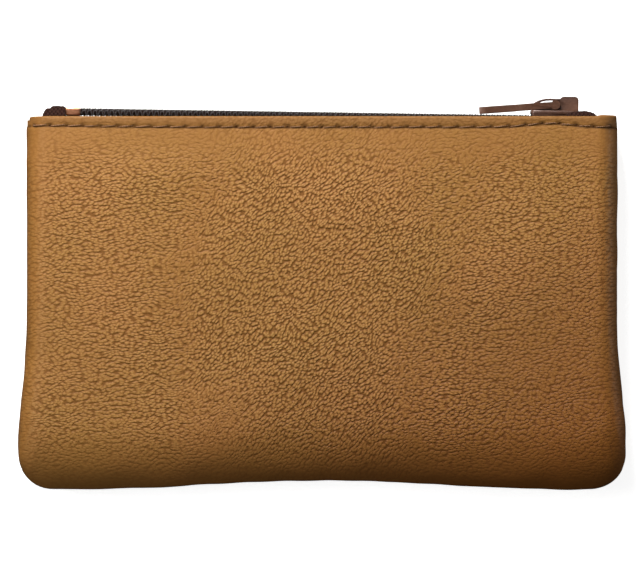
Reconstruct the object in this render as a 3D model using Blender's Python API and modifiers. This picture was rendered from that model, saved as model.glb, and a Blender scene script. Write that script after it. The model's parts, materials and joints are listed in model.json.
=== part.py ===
"""Zippered leather pouch, lying on its back.

Frame: +X runs along the zip towards its closed end, +Y towards the zip, +Z up
from the surface that the pouch lies on. The origin is on that surface, under
the middle of the leather.

The two leather panels are sewn together inside out along the sides and the
bottom and then turned, so their seam allowances lie inside at mid thickness.
At the top each panel is folded over into a hem, and a zip tape is topstitched
into it. The zip parts are built in a frame of their own, which is turned a
little because the zip is sewn in slightly higher at its left end.
"""
import math

import bmesh
import bpy
from mathutils import Matrix, Vector

MM = 0.001
NEAR = 1e-6

# Pouch outline
HEIGHT = 79.0 * MM
TOP_HALF_WIDTH = 62.3 * MM
BELLY = 1.8 * MM
BELLY_START = -5.0 * MM
BELLY_FULL = -31.0 * MM
CORNER_RADIUS = 7.5 * MM
BOTTOM_ARCH = 1.9 * MM
ARCH_HALF_LENGTH = 52.0 * MM

# Leather
LEATHER = 0.8 * MM
GAP = 0.3 * MM
HEM_DEPTH = 8.0 * MM
SIDE_CURL = 4.5 * MM
BOTTOM_CURL = 14.0 * MM
BOTTOM_FALL = 0.5
SEAM_TURN = 1.0 * MM
SEAM_ALLOWANCE = 4.0 * MM
TURN_SHARE = 0.3
BACK_HEM_LIFT = 0.6 * MM
FRONT_SLOPE = 0.8 * MM
HEM_ZONE = 12.0 * MM

# Zip: number 3 nylon coil
PITCH = 1.18 * MM
WIRE = 0.45 * MM
COIL_INNER = 0.5 * MM
COIL_WIDTH = 1.55 * MM
COIL_HEIGHT = 1.5 * MM
COIL_LIFT = 0.1 * MM
TAPE = 0.4 * MM
TAPE_DOWN = 8.5 * MM
TAPE_TO_HEM = 0.2 * MM
TAPE_BEND = 0.6 * MM
TAPE_BEND_MID = 0.15 * MM
TAPE_CELLS = 8
CHAIN_START = -50.9 * MM
CHAIN_END = 54.0 * MM
CHAIN_PROUD = 0.6 * MM
ZIP_TILT = math.radians(-0.9)
CORD_CELLS = 12

# Tape ends: how far out each fold line lies, and its height as a share of the crest
END_START = 1.3 * MM
LEFT_TAIL = 3.2 * MM
RIGHT_TAIL = 0.5 * MM
RIGHT_FOLD_SHIFT = 0.1 * MM
END_FOLD = ((0.4 * MM, 0.7), (1.3 * MM, 1.0), (2.9 * MM, 0.8))
END_TUCK = ((4.3 * MM, -0.8 * MM), (4.7 * MM, -3.5 * MM))
RIGHT_CREST = 2.6 * MM

# Stops
STOP_LENGTH = 3.0 * MM
STOP_TO_CHAIN = 0.15 * MM
STOP_BAR = 0.6 * MM
STOP_CHAMFER = 0.3 * MM
CRIMP_LENGTH = 1.45 * MM
CRIMP_WALL = 0.3 * MM
CRIMP_JAW = 0.5 * MM
CRIMP_REACH = 0.7 * MM
CLEAR = 0.1 * MM

# Slider and pull
SLIDER_WIDTH = 6.4 * MM
SLIDER_BACK = 44.0 * MM
SLIDER_NOSE = 54.2 * MM
PLATE = 0.85 * MM
LOWER_PLATE_WIDTH = 5.4 * MM
PLATE_CORNER = 1.2 * MM
PLATE_NOTCH = 0.7 * MM
TAIL_CHAMFER = 0.5 * MM
TAIL_SHARE = 0.86
FLANGE_NOSE = 2.0 * MM
NECK_BACK = 4.0 * MM
NECK_NOSE = 1.0 * MM
NECK = 0.4 * MM
CAP_WIDTH = 2.6 * MM
CAP_WALL = 0.5 * MM
CROWN_HEIGHT = 3.0 * MM
CROWN_CORNER = 0.8 * MM
CROWN_BACK = 0.3 * MM
CAP_SEAT = 0.05 * MM
CAP_REAR = 0.35 * MM
# The leaf from the crown to the rear foot: place along the chain, and drop below the crown's top
LEAF_TOP = ((50.3 * MM, 0.1 * MM), (48.0 * MM, 0.32 * MM), (46.0 * MM, 0.85 * MM), (44.65 * MM, 1.45 * MM),
            (44.35 * MM, 1.9 * MM))
LEAF_UNDER = ((44.85 * MM, 2.0 * MM), (46.2 * MM, 1.3 * MM), (48.2 * MM, 0.8 * MM), (50.3 * MM, 0.7 * MM))
PIN_X = 49.2 * MM
PIN_Y = 3.95 * MM
PIN_RADIUS = 0.8 * MM
PULL_REACH = 16.1 * MM
PULL_THICKNESS = 1.3 * MM
PULL_TILT = math.radians(4.9)
WINDOW_END = 5.85 * MM
WINDOW_NECK = 0.6 * MM
WAIST_START = 2.2 * MM
WINDOW_PIN_SHARE = 0.95
WINDOW_HEIGHT = 2.0 * MM
EYE_HALF = 2.65 * MM
WAIST_HALF = 1.9 * MM
TIP_HALF = 2.3 * MM
TIP_RADIUS = 1.4 * MM

# Lock pawl
PAWL_BACK = 45.9 * MM
PAWL_NOSE = 46.9 * MM
PAWL_HALF = 0.2 * MM
PAWL_HEAD = 0.25 * MM
PAWL_CREST = 0.95 * MM
PAWL_DEPTH = 0.7 * MM
PAWL_TIP = 0.2 * MM
PAWL_TAPER = 0.3 * MM

# Sewing
STITCH = 3.55 * MM
STITCH_INSET = 2.2 * MM
TOPSTITCH_HALF = 57.0 * MM
TOP_THREAD = 0.15 * MM
FINE_THREAD = 0.12 * MM
COIL_THREAD = 0.08 * MM
STITCH_SWING = 0.1 * MM
BOBBIN_DROP = 0.5 * MM
SEAM_INSET = 1.9 * MM

# Derived places
TOP = HEIGHT / 2
BOTTOM = -HEIGHT / 2
HEM_RADIUS = LEATHER + GAP / 2
COIL_OUTER = COIL_INNER + COIL_WIDTH
TAPE_OUTER = SLIDER_WIDTH / 2 + GAP + TAPE
HEM_INNER = TAPE_OUTER + TAPE_TO_HEM
HEM_OUTER = HEM_INNER + 2 * HEM_RADIUS
MID = HEM_OUTER + BACK_HEM_LIFT
COIL_TOP = COIL_LIFT + COIL_HEIGHT
PLATE_UNDER = COIL_TOP + GAP
PLATE_TOP = PLATE_UNDER + PLATE
LOWER_TOP = -0.9 * MM
CROWN_TOP = PLATE_TOP + CROWN_HEIGHT
ZIP_Y = TOP + CHAIN_PROUD - COIL_TOP

# Grid of the flat part of a panel: narrow cells by the corners, wide ones between
CORNER_CELLS = 3
SPAN_CELLS = 12
RISE_CELLS = 7
COLUMNS = SPAN_CELLS + 2 * CORNER_CELLS
ROWS = RISE_CELLS + CORNER_CELLS
CORNER_CELL = 2.0 * MM
CURL_RINGS = 4
FOLD_STEPS = 6

LEFT, RIGHT = -1, 1
FRONT, BACK = 1, -1


def linear(hex_colour):
    """Turn an sRGB hex colour into linear RGBA."""
    channels = [int(hex_colour[i:i + 2], 16) / 255 for i in (1, 3, 5)]
    return [c / 12.92 if c <= 0.04045 else ((c + 0.055) / 1.055) ** 2.4 for c in channels] + [1.0]


def material(name, hex_colour, roughness, metallic=0.0):
    mat = bpy.data.materials.new(name)
    mat.use_nodes = True
    shader = mat.node_tree.nodes["Principled BSDF"]
    shader.inputs["Base Color"].default_value = linear(hex_colour)
    shader.inputs["Roughness"].default_value = roughness
    shader.inputs["Metallic"].default_value = metallic
    mat.diffuse_color = linear(hex_colour)
    return mat


def clear_scene():
    for obj in list(bpy.data.objects):
        bpy.data.objects.remove(obj, do_unlink=True)


def collection(name):
    group = bpy.data.collections.new(name)
    bpy.context.scene.collection.children.link(group)
    return group


def mesh_object(name, bm, mat, group, parent=None):
    bmesh.ops.recalc_face_normals(bm, faces=bm.faces)
    mesh = bpy.data.meshes.new(name)
    bm.to_mesh(mesh)
    bm.free()
    mesh.materials.append(mat)
    obj = bpy.data.objects.new(name, mesh)
    group.objects.link(obj)
    obj.parent = parent
    return obj


def tube(name, points, radius, mat, group, parent=None):
    """A wire or thread: a poly curve with a round bevel and filled caps."""
    curve = bpy.data.curves.new(name, "CURVE")
    curve.dimensions = "3D"
    curve.bevel_depth = radius
    curve.bevel_resolution = 0
    curve.use_fill_caps = True
    spline = curve.splines.new("POLY")
    spline.points.add(len(points) - 1)
    for point, place in zip(spline.points, points):
        point.co = (*place, 1.0)
    curve.materials.append(mat)
    obj = bpy.data.objects.new(name, curve)
    group.objects.link(obj)
    obj.parent = parent
    return obj


def prism(bm, outline, low, high, axes="xy"):
    """Fill a closed outline and extrude it along the third axis."""
    def place(a, b, c):
        return (a, b, c) if axes == "xy" else (a, c, b)
    ring = [bm.verts.new(place(a, b, low)) for a, b in outline]
    face = bm.faces.new(ring)
    rise = Vector(place(0.0, 0.0, high - low))
    sides = bmesh.ops.extrude_face_region(bm, geom=[face], use_keep_orig=True)
    top = [v for v in sides["geom"] if isinstance(v, bmesh.types.BMVert)]
    bmesh.ops.translate(bm, verts=top, vec=rise)


def box(bm, low, high):
    size = [h - l for l, h in zip(low, high)]
    middle = [(h + l) / 2 for l, h in zip(low, high)]
    bmesh.ops.create_cube(bm, size=1.0, matrix=Matrix.Translation(middle) @ Matrix.Diagonal((*size, 1.0)))


def arc(centre, radius, start, end, steps):
    """Points of an arc, angles in degrees."""
    points = []
    for i in range(steps + 1):
        angle = math.radians(start + (end - start) * i / steps)
        points.append((centre[0] + radius * math.cos(angle), centre[1] + radius * math.sin(angle)))
    return points


def join(base, tools, operation="UNION"):
    for tool in tools:
        cut = base.modifiers.new(tool.name, "BOOLEAN")
        cut.operation = operation
        cut.solver = "EXACT"
        cut.object = tool
        tool.hide_render = True
        tool.display_type = "WIRE"


# ---------------------------------------------------------------- leather panels

def smooth(t):
    t = min(max(t, 0.0), 1.0)
    return t * t * (3 - 2 * t)


def half_width(y):
    return TOP_HALF_WIDTH + BELLY * smooth((BELLY_START - y) / (BELLY_START - BELLY_FULL))


def bottom_edge(x):
    """The bottom edge rises a little between the corners."""
    if abs(x) > ARCH_HALF_LENGTH:
        return BOTTOM
    return BOTTOM + BOTTOM_ARCH * math.cos(math.pi * x / (2 * ARCH_HALF_LENGTH)) ** 2


def spread(index, near, total, cell, length):
    """Distance along an edge: `near` cells of size `cell`, then even ones."""
    if index <= near:
        return index * cell
    return near * cell + (length - near * cell) * (index - near) / (total - near)


def across(column):
    """Where a column stands, from -1 at the left to 1 at the right."""
    half = COLUMNS // 2
    reach = TOP_HALF_WIDTH - SIDE_CURL
    if column > half:
        return -across(COLUMNS - column)
    return spread(column, CORNER_CELLS, half, CORNER_CELL, reach) / reach - 1


def grid_place(column, row):
    """Plan position of a vertex of a panel's flat part."""
    share = across(column)
    low = bottom_edge(share * TOP_HALF_WIDTH) + BOTTOM_CURL
    high = TOP - HEM_RADIUS
    y = low + spread(row, CORNER_CELLS, ROWS, CORNER_CELL, high - low)
    return Vector((share * (half_width(y) - SIDE_CURL), y))


def outline_place(column, row):
    """Where a grid border vertex belongs on the pouch's outline, and the way inwards there."""
    centre_x = TOP_HALF_WIDTH + BELLY - CORNER_RADIUS
    centre_y = BOTTOM + CORNER_RADIUS
    side = LEFT if column <= COLUMNS // 2 else RIGHT
    from_side = min(column, COLUMNS - column)
    if column in (0, COLUMNS) and row > CORNER_CELLS:
        share = (row - CORNER_CELLS) / (ROWS - CORNER_CELLS)
        y = centre_y + (TOP - HEM_RADIUS - centre_y) * share
        return Vector((side * half_width(y), y)), Vector((-side, 0.0))
    if from_side > CORNER_CELLS:
        share = (column - CORNER_CELLS) / (COLUMNS - 2 * CORNER_CELLS)
        x = centre_x * (2 * share - 1)
        return Vector((x, bottom_edge(x))), Vector((0.0, 1.0))
    steps_up = row if column in (0, COLUMNS) else -from_side
    angle = math.radians(45 * (1 - steps_up / CORNER_CELLS))
    outward = Vector((side * math.cos(angle), -math.sin(angle)))
    return Vector((side * centre_x, centre_y)) + outward * CORNER_RADIUS, -outward


def depth(side, y):
    """How far a panel's outer face lies from the middle of the pouch."""
    down = (TOP - HEM_RADIUS - y) / (TOP - BOTTOM)
    if side == BACK:
        return HEM_OUTER + BACK_HEM_LIFT * smooth((TOP - y - HEM_DEPTH / 2) / HEM_ZONE)
    return HEM_OUTER - FRONT_SLOPE * smooth(down)


def panel(side, name, mat, group):
    """One leather panel: flat part, curled edges with seam allowance, folded hem."""
    bm = bmesh.new()
    column_of = bm.verts.layers.int.new("column")
    row_of = bm.verts.layers.int.new("row")
    bmesh.ops.create_grid(bm, x_segments=COLUMNS, y_segments=ROWS, size=1.0)
    for vert in bm.verts:
        column = round((vert.co.x + 1) / 2 * COLUMNS)
        row = round((vert.co.y + 1) / 2 * ROWS)
        vert[column_of] = column
        vert[row_of] = row
        plan = grid_place(column, row)
        vert.co = (plan.x, plan.y, MID + side * depth(side, plan.y))

    def on_seam(vert):
        return vert[column_of] in (0, COLUMNS) or vert[row_of] == 0

    def border(test):
        return [e for e in bm.edges if e.is_boundary and test(e.verts[0]) and test(e.verts[1])]

    def extrude(edges, place):
        made = bmesh.ops.extrude_edge_only(bm, edges=edges)["geom"]
        for vert in [v for v in made if isinstance(v, bmesh.types.BMVert)]:
            vert.co = place(vert[column_of], vert[row_of])
        return [e for e in made if isinstance(e, bmesh.types.BMEdge) and e.is_boundary
                and abs(e.verts[0][column_of] - e.verts[1][column_of])
                + abs(e.verts[0][row_of] - e.verts[1][row_of]) == 1]

    def curl_place(angle):
        """A ring vertex between the flat part and the edge; the bottom falls away sooner than the sides."""
        def place(column, row):
            inner = grid_place(column, row)
            outer, inward = outline_place(column, row)
            plan = inner.lerp(outer, math.sin(angle))
            fall = max(math.cos(angle), 0.0) ** (1 + BOTTOM_FALL * inward.y)
            rise = depth(side, inner.y) - GAP / 2 - SEAM_TURN
            return Vector((plan.x, plan.y, MID + side * (GAP / 2 + SEAM_TURN + rise * fall)))
        return place

    def seam_place(inset, height):
        """A ring vertex inside the outline, where the edge is turned in."""
        def place(column, row):
            outer, inward = outline_place(column, row)
            plan = outer + inward * inset
            return Vector((plan.x, plan.y, MID + side * (GAP / 2 + height)))
        return place

    seam = border(on_seam)
    for ring in range(1, CURL_RINGS + 1):
        seam = extrude(seam, curl_place(math.radians(90 * ring / CURL_RINGS)))
    seam = extrude(seam, seam_place(TURN_SHARE * SEAM_TURN, TURN_SHARE * SEAM_TURN))
    seam = extrude(seam, seam_place(SEAM_TURN, 0.0))
    extrude(seam, seam_place(SEAM_TURN + SEAM_ALLOWANCE, 0.0))

    def hem_place(angle, drop):
        def place(column, row):
            plan = grid_place(column, row)
            y = plan.y + HEM_RADIUS * math.sin(angle) - drop
            return Vector((plan.x, y, MID + side * (HEM_OUTER - HEM_RADIUS * (1 - math.cos(angle)))))
        return place

    top_y = TOP - HEM_RADIUS
    hem = [e for e in bm.edges if e.is_boundary and all(
        v[row_of] == ROWS and abs(v.co.y - top_y) < NEAR
        and abs(v.co.x) < TOP_HALF_WIDTH - SIDE_CURL + NEAR and (v.co.z - MID) * side > HEM_OUTER / 2
        for v in e.verts)]
    for step in range(1, FOLD_STEPS + 1):
        hem = extrude(hem, hem_place(math.pi * step / FOLD_STEPS, 0.0))
    extrude(hem, hem_place(math.pi, HEM_DEPTH - HEM_RADIUS))

    obj = mesh_object(name, bm, mat, group)
    if obj.data.polygons[0].normal.z * side < 0:
        obj.data.flip_normals()
    wall = obj.modifiers.new("leather", "SOLIDIFY")
    wall.thickness = LEATHER
    wall.offset = -1.0
    wall.use_even_offset = True
    obj.data.shade_smooth()
    return obj


def seam_path(inset, z):
    """A path round the two sides and the bottom, inside the outline."""
    border = [(0, row) for row in range(ROWS, -1, -1)]
    border += [(column, 0) for column in range(1, COLUMNS + 1)]
    border += [(COLUMNS, row) for row in range(1, ROWS + 1)]
    path = []
    for column, row in border:
        outer, inward = outline_place(column, row)
        path.append((*(outer + inward * inset), z))
    return path


def topstitch_path(z, swing, drop=0.0):
    """A line of stitches under the hem's fold: `swing` lifts each stitch's middle."""
    count = int(2 * TOPSTITCH_HALF / STITCH)
    start = -count * STITCH / 2
    path = []
    for half in range(2 * count + 1):
        path.append((start + half * STITCH / 2, TOP - STITCH_INSET - drop, z + swing * (half % 2)))
    return path


# ---------------------------------------------------------------- zip

def tape(side, name, mat, group, zip_frame):
    """A woven tape: flat under the coil, bent down behind the hem, ends turned in."""
    flat = [(COIL_INNER, 0.0), (END_START, 0.0), (TAPE_OUTER - TAPE_BEND, 0.0)]
    bend = [(TAPE_OUTER - TAPE_BEND_MID, -TAPE_BEND_MID), (TAPE_OUTER, -TAPE_BEND), (TAPE_OUTER, -TAPE_DOWN)]
    section = flat + bend
    left, right = CHAIN_START - LEFT_TAIL, CHAIN_END + RIGHT_TAIL
    bm = bmesh.new()
    bmesh.ops.create_grid(bm, x_segments=TAPE_CELLS, y_segments=len(section) - 1, size=1.0)
    for vert in bm.verts:
        z, y = section[round((vert.co.y + 1) / 2 * (len(section) - 1))]
        x = left + (right - left) * (vert.co.x + 1) / 2
        vert.co = (x, y, side * z)

    def end_edges(x):
        return [e for e in bm.edges if e.is_boundary and all(
            abs(v.co.x - x) < NEAR and v.co.y > -TAPE_BEND_MID - NEAR and abs(v.co.z) > END_START - NEAR
            for v in e.verts)]

    def turn_in(edges, x, way, path):
        for out, up in path:
            made = bmesh.ops.extrude_edge_only(bm, edges=edges)["geom"]
            for vert in [v for v in made if isinstance(v, bmesh.types.BMVert)]:
                vert.co.x = x + way * out
                vert.co.y = up
            edges = [e for e in made if isinstance(e, bmesh.types.BMEdge)
                     and abs(e.verts[0].co.z - e.verts[1].co.z) > NEAR]

    def fold(crest):
        return [(out, share * crest) for out, share in END_FOLD] + list(END_TUCK)

    turn_in(end_edges(left), left, LEFT, fold(COIL_TOP - TAPE / 4))
    turn_in(end_edges(right), right + RIGHT_FOLD_SHIFT, RIGHT, fold(RIGHT_CREST))
    obj = mesh_object(name, bm, mat, group, zip_frame)
    if obj.data.polygons[0].normal.y < 0:
        obj.data.flip_normals()
    weave = obj.modifiers.new("woven tape", "SOLIDIFY")
    weave.thickness = TAPE
    weave.offset = -1.0
    weave.use_even_offset = True
    return obj


def coil_path(side):
    """A squarish spiral of nylon wire: up the inside, out, down and back under."""
    reach_z = (COIL_WIDTH - WIRE) / 2
    reach_y = (COIL_HEIGHT - WIRE) / 2
    middle_z = COIL_INNER + COIL_WIDTH / 2
    middle_y = COIL_LIFT + COIL_HEIGHT / 2
    corners = [(-1, -1), (-1, 1), (1, 1), (1, -1)]
    turns = int((CHAIN_END - CHAIN_START - WIRE) / PITCH)
    offset = 0.0 if side == FRONT else PITCH / 2
    path = []
    for step in range(4 * turns):
        out, up = corners[step % 4]
        x = CHAIN_START + WIRE / 2 + offset + step * PITCH / 4
        path.append((x, middle_y + up * reach_y, side * (middle_z + out * reach_z)))
    return path


def along_chain(y, z):
    """A straight path beside the chain, from its first turn to its last."""
    step = (CHAIN_END - CHAIN_START) / CORD_CELLS
    return [(CHAIN_START + step * i, y, z) for i in range(CORD_CELLS + 1)]


def bottom_stop(mat, group, zip_frame):
    """A clip that joins the two halves: bars above and under the tapes, and a web."""
    back, nose = CHAIN_START - STOP_LENGTH, CHAIN_START - STOP_TO_CHAIN
    web = COIL_INNER - GAP
    high = -TAPE - STOP_TO_CHAIN
    low = high - STOP_BAR
    ledge = COIL_LIFT
    outline = [(-COIL_OUTER, low), (COIL_OUTER, low), (COIL_OUTER, high), (web, high), (web, ledge),
               (COIL_OUTER, ledge), (COIL_OUTER, COIL_TOP - STOP_CHAMFER),
               (COIL_OUTER - STOP_CHAMFER, COIL_TOP)]
    outline += [(-z, y) for z, y in reversed(outline) if z > 0]
    bm = bmesh.new()
    ring = [bm.verts.new((back, y, z)) for z, y in outline]
    face = bm.faces.new(ring)
    made = bmesh.ops.extrude_face_region(bm, geom=[face], use_keep_orig=True)["geom"]
    moved = [v for v in made if isinstance(v, bmesh.types.BMVert)]
    bmesh.ops.translate(bm, verts=moved, vec=(nose - back, 0, 0))
    return mesh_object("bottom_stop", bm, mat, group, zip_frame)


def top_stop(side, name, mat, group, zip_frame):
    """A small crimp round the inner edge of one tape, beyond the last turn."""
    end = CHAIN_END + RIGHT_TAIL - CLEAR
    inner, wrap, outer = COIL_INNER - CRIMP_WALL, COIL_INNER - CLEAR, COIL_INNER + CRIMP_REACH
    under, over = -TAPE - CLEAR, CLEAR
    outline = [(inner, under - CRIMP_WALL), (outer, under - CRIMP_WALL), (outer, under), (wrap, under),
               (wrap, over), (outer, over), (outer, over + CRIMP_JAW), (inner, over + CRIMP_JAW)]
    bm = bmesh.new()
    ring = [bm.verts.new((end - CRIMP_LENGTH, y, side * z)) for z, y in outline]
    face = bm.faces.new(ring)
    made = bmesh.ops.extrude_face_region(bm, geom=[face], use_keep_orig=True)["geom"]
    moved = [v for v in made if isinstance(v, bmesh.types.BMVert)]
    bmesh.ops.translate(bm, verts=moved, vec=(CRIMP_LENGTH, 0, 0))
    return mesh_object(name, bm, mat, group, zip_frame)


# ---------------------------------------------------------------- slider, cap, lock and pull

def plate_outline(half, back, nose):
    """A slider plate from above: a square tail and a rounded, notched nose."""
    start = nose - PLATE_CORNER
    right = arc((start, half - PLATE_CORNER), PLATE_CORNER, 90, 20, 3)
    notch = [(nose - PLATE_NOTCH, 0.0)]
    outline = [(back, -half * TAIL_SHARE), (back + TAIL_CHAMFER, -half), (start, -half)]
    outline += [(x, -z) for x, z in right[1:]] + notch + list(reversed(right[1:]))
    outline += [(start, half), (back + TAIL_CHAMFER, half), (back, half * TAIL_SHARE)]
    return outline


def slider_body(mat, group, cutters, slider):
    """Two plates joined by a thin neck, with a flange down each side of the chain."""
    bm = bmesh.new()
    prism(bm, plate_outline(SLIDER_WIDTH / 2, SLIDER_BACK, SLIDER_NOSE), PLATE_UNDER, PLATE_TOP, "xz")
    body = mesh_object("slider_body", bm, mat, group, slider)

    bm = bmesh.new()
    half = LOWER_PLATE_WIDTH / 2
    outline = plate_outline(half, SLIDER_BACK, SLIDER_NOSE)
    prism(bm, outline, LOWER_TOP - PLATE, LOWER_TOP, "xz")
    lower = mesh_object("lower_plate_join", bm, mat, cutters, slider)

    inner = COIL_OUTER + GAP
    flanges = []
    for side in (FRONT, BACK):
        bm = bmesh.new()
        near, far = sorted((side * inner, side * SLIDER_WIDTH / 2))
        box(bm, (SLIDER_BACK + TAIL_CHAMFER, GAP, near),
            (SLIDER_NOSE - FLANGE_NOSE, PLATE_UNDER + PLATE / 2, far))
        flanges.append(mesh_object(f"flange_join_{side}", bm, mat, cutters, slider))

    bm = bmesh.new()
    neck_back, neck_nose, neck_half = SLIDER_NOSE - NECK_BACK, SLIDER_NOSE - NECK_NOSE, NECK / 2
    middle = (neck_back + neck_nose) / 2
    lens = [(neck_back, 0.0), (middle, -neck_half), (neck_nose, 0.0), (middle, neck_half)]
    prism(bm, lens, LOWER_TOP - PLATE / 2, PLATE_UNDER + PLATE / 2, "xz")
    neck = mesh_object("neck_join", bm, mat, cutters, slider)

    bm = bmesh.new()
    box(bm, (PAWL_BACK - GAP, PLATE_UNDER - PLATE, -PAWL_HALF - GAP),
        (PAWL_NOSE + GAP, PLATE_TOP + PLATE, PAWL_HALF + GAP))
    slot = mesh_object("pawl_slot_cut", bm, mat, cutters, slider)
    join(body, [lower, neck] + flanges)
    join(body, [slot], "DIFFERENCE")
    return body


def slider_cap(mat, group, slider):
    """The bridge over the pull's pin: a solid crown, an arched leaf and a rear foot."""
    seat = PLATE_TOP + CAP_SEAT
    crown_back = PIN_X + PIN_RADIUS + CROWN_BACK
    crown_nose = SLIDER_NOSE - CLEAR
    rear = SLIDER_BACK + CAP_REAR
    outline = [(crown_back, seat), (crown_nose, seat)]
    outline += arc((crown_nose - CROWN_CORNER, CROWN_TOP - CROWN_CORNER), CROWN_CORNER, 0, 90, 3)
    outline += [(x, CROWN_TOP - drop) for x, drop in LEAF_TOP]
    outline += [(rear, seat), (rear + CAP_WALL, seat)]
    outline += [(x, CROWN_TOP - drop) for x, drop in LEAF_UNDER]
    bm = bmesh.new()
    prism(bm, outline, -CAP_WIDTH / 2, CAP_WIDTH / 2, "xy")
    return mesh_object("slider_cap", bm, mat, group, slider)


def lock_pawl(mat, group, pawl):
    """A tongue that drops through the upper plate between the two coils."""
    shoulder = PLATE_TOP + GAP
    head_back, head_nose = PAWL_BACK - PAWL_HEAD, PAWL_NOSE + PAWL_HEAD
    crest = PLATE_TOP + PAWL_CREST
    tip = COIL_TOP - PAWL_DEPTH
    outline = [(PAWL_BACK + PAWL_TIP, tip), (PAWL_NOSE - PAWL_TIP, tip), (PAWL_NOSE, tip + PAWL_TAPER),
               (PAWL_NOSE, shoulder), (head_nose, shoulder), (head_nose, crest - PAWL_TIP),
               (PAWL_NOSE, crest), (PAWL_BACK, crest), (head_back, crest - PAWL_TIP),
               (head_back, shoulder), (PAWL_BACK, shoulder), (PAWL_BACK, tip + PAWL_TAPER)]
    origin = pawl.location
    bm = bmesh.new()
    prism(bm, [(x - origin.x, y - origin.y) for x, y in outline], -PAWL_HALF, PAWL_HALF, "xy")
    return mesh_object("lock_pawl", bm, mat, group, pawl)


def pull_tab(mat, group, cutters, hinge):
    """A long tab with a window at the pin end, so that it can swing over the cap."""
    tip = -PULL_REACH
    neck, waist = -WINDOW_END - WINDOW_NECK, -WINDOW_END - WAIST_START
    round_end = arc((tip + TIP_RADIUS, TIP_HALF - TIP_RADIUS), TIP_RADIUS, 110, 180, 3)
    half = [(0.0, EYE_HALF), (neck, EYE_HALF), (waist, WAIST_HALF), (tip + TIP_RADIUS, TIP_HALF)] + round_end
    outline = half + [(x, -z) for x, z in reversed(half)]
    bm = bmesh.new()
    prism(bm, outline, -PULL_THICKNESS / 2, PULL_THICKNESS / 2, "xz")
    tab = mesh_object("pull_tab", bm, mat, group, hinge)

    bm = bmesh.new()
    bmesh.ops.create_cone(bm, cap_ends=True, segments=16, radius1=PIN_RADIUS, radius2=PIN_RADIUS,
                          depth=2 * EYE_HALF)
    pin = mesh_object("pull_pin_join", bm, mat, cutters, hinge)

    bm = bmesh.new()
    window_half = CAP_WIDTH / 2 + GAP
    box(bm, (-WINDOW_END, -WINDOW_HEIGHT, -window_half),
        (-PIN_RADIUS * WINDOW_PIN_SHARE, WINDOW_HEIGHT, window_half))
    window = mesh_object("pull_window_cut", bm, mat, cutters, hinge)
    join(tab, [pin])
    join(tab, [window], "DIFFERENCE")
    hinge.rotation_euler.z = PULL_TILT
    return tab


def empty(name, group, parent=None, location=(0, 0, 0)):
    obj = bpy.data.objects.new(name, None)
    group.objects.link(obj)
    obj.parent = parent
    obj.location = location
    return obj


def build():
    clear_scene()
    pouch = collection("zippered_pouch")
    cutters = collection("zippered_pouch_cutters")

    camel = material("camel leather", "#9C6C3C", 0.55)
    sewing = material("brown polyester thread", "#6B4524", 0.6)
    webbing = material("dark brown polyester tape", "#49291D", 0.85)
    nylon = material("dark brown nylon", "#2A1A14", 0.35)
    lacquer = material("brown lacquered zinc", "#4E382E", 0.35, 0.3)
    copper = material("copper plated steel", "#9E7258", 0.3, 1.0)
    steel = material("plated spring steel", "#6A5A50", 0.35, 1.0)

    panel(FRONT, "front_panel", camel, pouch)
    panel(BACK, "back_panel", camel, pouch)

    seam_lift = GAP / 2 + LEATHER + CLEAR + FINE_THREAD
    tube("seam_needle_thread", seam_path(SEAM_INSET, MID + seam_lift), FINE_THREAD, sewing, pouch)
    tube("seam_bobbin_thread", seam_path(SEAM_INSET, MID - seam_lift), FINE_THREAD, sewing, pouch)
    out = HEM_OUTER + CLEAR + TOP_THREAD
    inside = TAPE_OUTER - TAPE - CLEAR - FINE_THREAD
    for side, label in ((FRONT, "front"), (BACK, "back")):
        tube(f"{label}_topstitch_needle_thread", topstitch_path(MID + side * out, side * STITCH_SWING),
             TOP_THREAD, sewing, pouch)
        tube(f"{label}_topstitch_bobbin_thread", topstitch_path(MID + side * inside, 0.0, BOBBIN_DROP),
             FINE_THREAD, sewing, pouch)

    zip_frame = empty("zip_frame", pouch, None, (0.0, ZIP_Y, MID))
    zip_frame.rotation_euler.z = ZIP_TILT
    core_y = COIL_LIFT + COIL_HEIGHT / 2
    for side, label in ((FRONT, "front"), (BACK, "back")):
        core_z = side * (COIL_INNER + COIL_WIDTH / 2)
        tape(side, f"{label}_zip_tape", webbing, pouch, zip_frame)
        tube(f"{label}_coil", coil_path(side), WIRE / 2, nylon, pouch, zip_frame)
        tube(f"{label}_coil_core_cord", along_chain(core_y, core_z), FINE_THREAD, webbing, pouch, zip_frame)
        tube(f"{label}_coil_sewing_thread", along_chain(-TAPE - 2 * COIL_THREAD, core_z), COIL_THREAD,
             webbing, pouch, zip_frame)
        top_stop(side, f"{label}_top_stop", copper, pouch, zip_frame)
    bottom_stop(copper, pouch, zip_frame)

    slider = empty("slider_axis", pouch, zip_frame)
    slider_body(lacquer, pouch, cutters, slider)
    slider_cap(lacquer, pouch, slider)
    pawl = empty("pawl_axis", pouch, slider, ((PAWL_BACK + PAWL_NOSE) / 2, PLATE_TOP, 0.0))
    lock_pawl(steel, pouch, pawl)
    hinge = empty("pull_hinge", pouch, slider, (PIN_X, PIN_Y, 0.0))
    pull_tab(lacquer, pouch, cutters, hinge)


build()
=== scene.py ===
"""Looks of the zippered leather pouch: fine leather, sewing, zip and slider around the CAD frame."""
import json
import math
from functools import partial

import bmesh
import bpy
import numpy as np
from bpy.props import FloatProperty, FloatVectorProperty, PointerProperty
from mathutils import Matrix, Vector, noise


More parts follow.
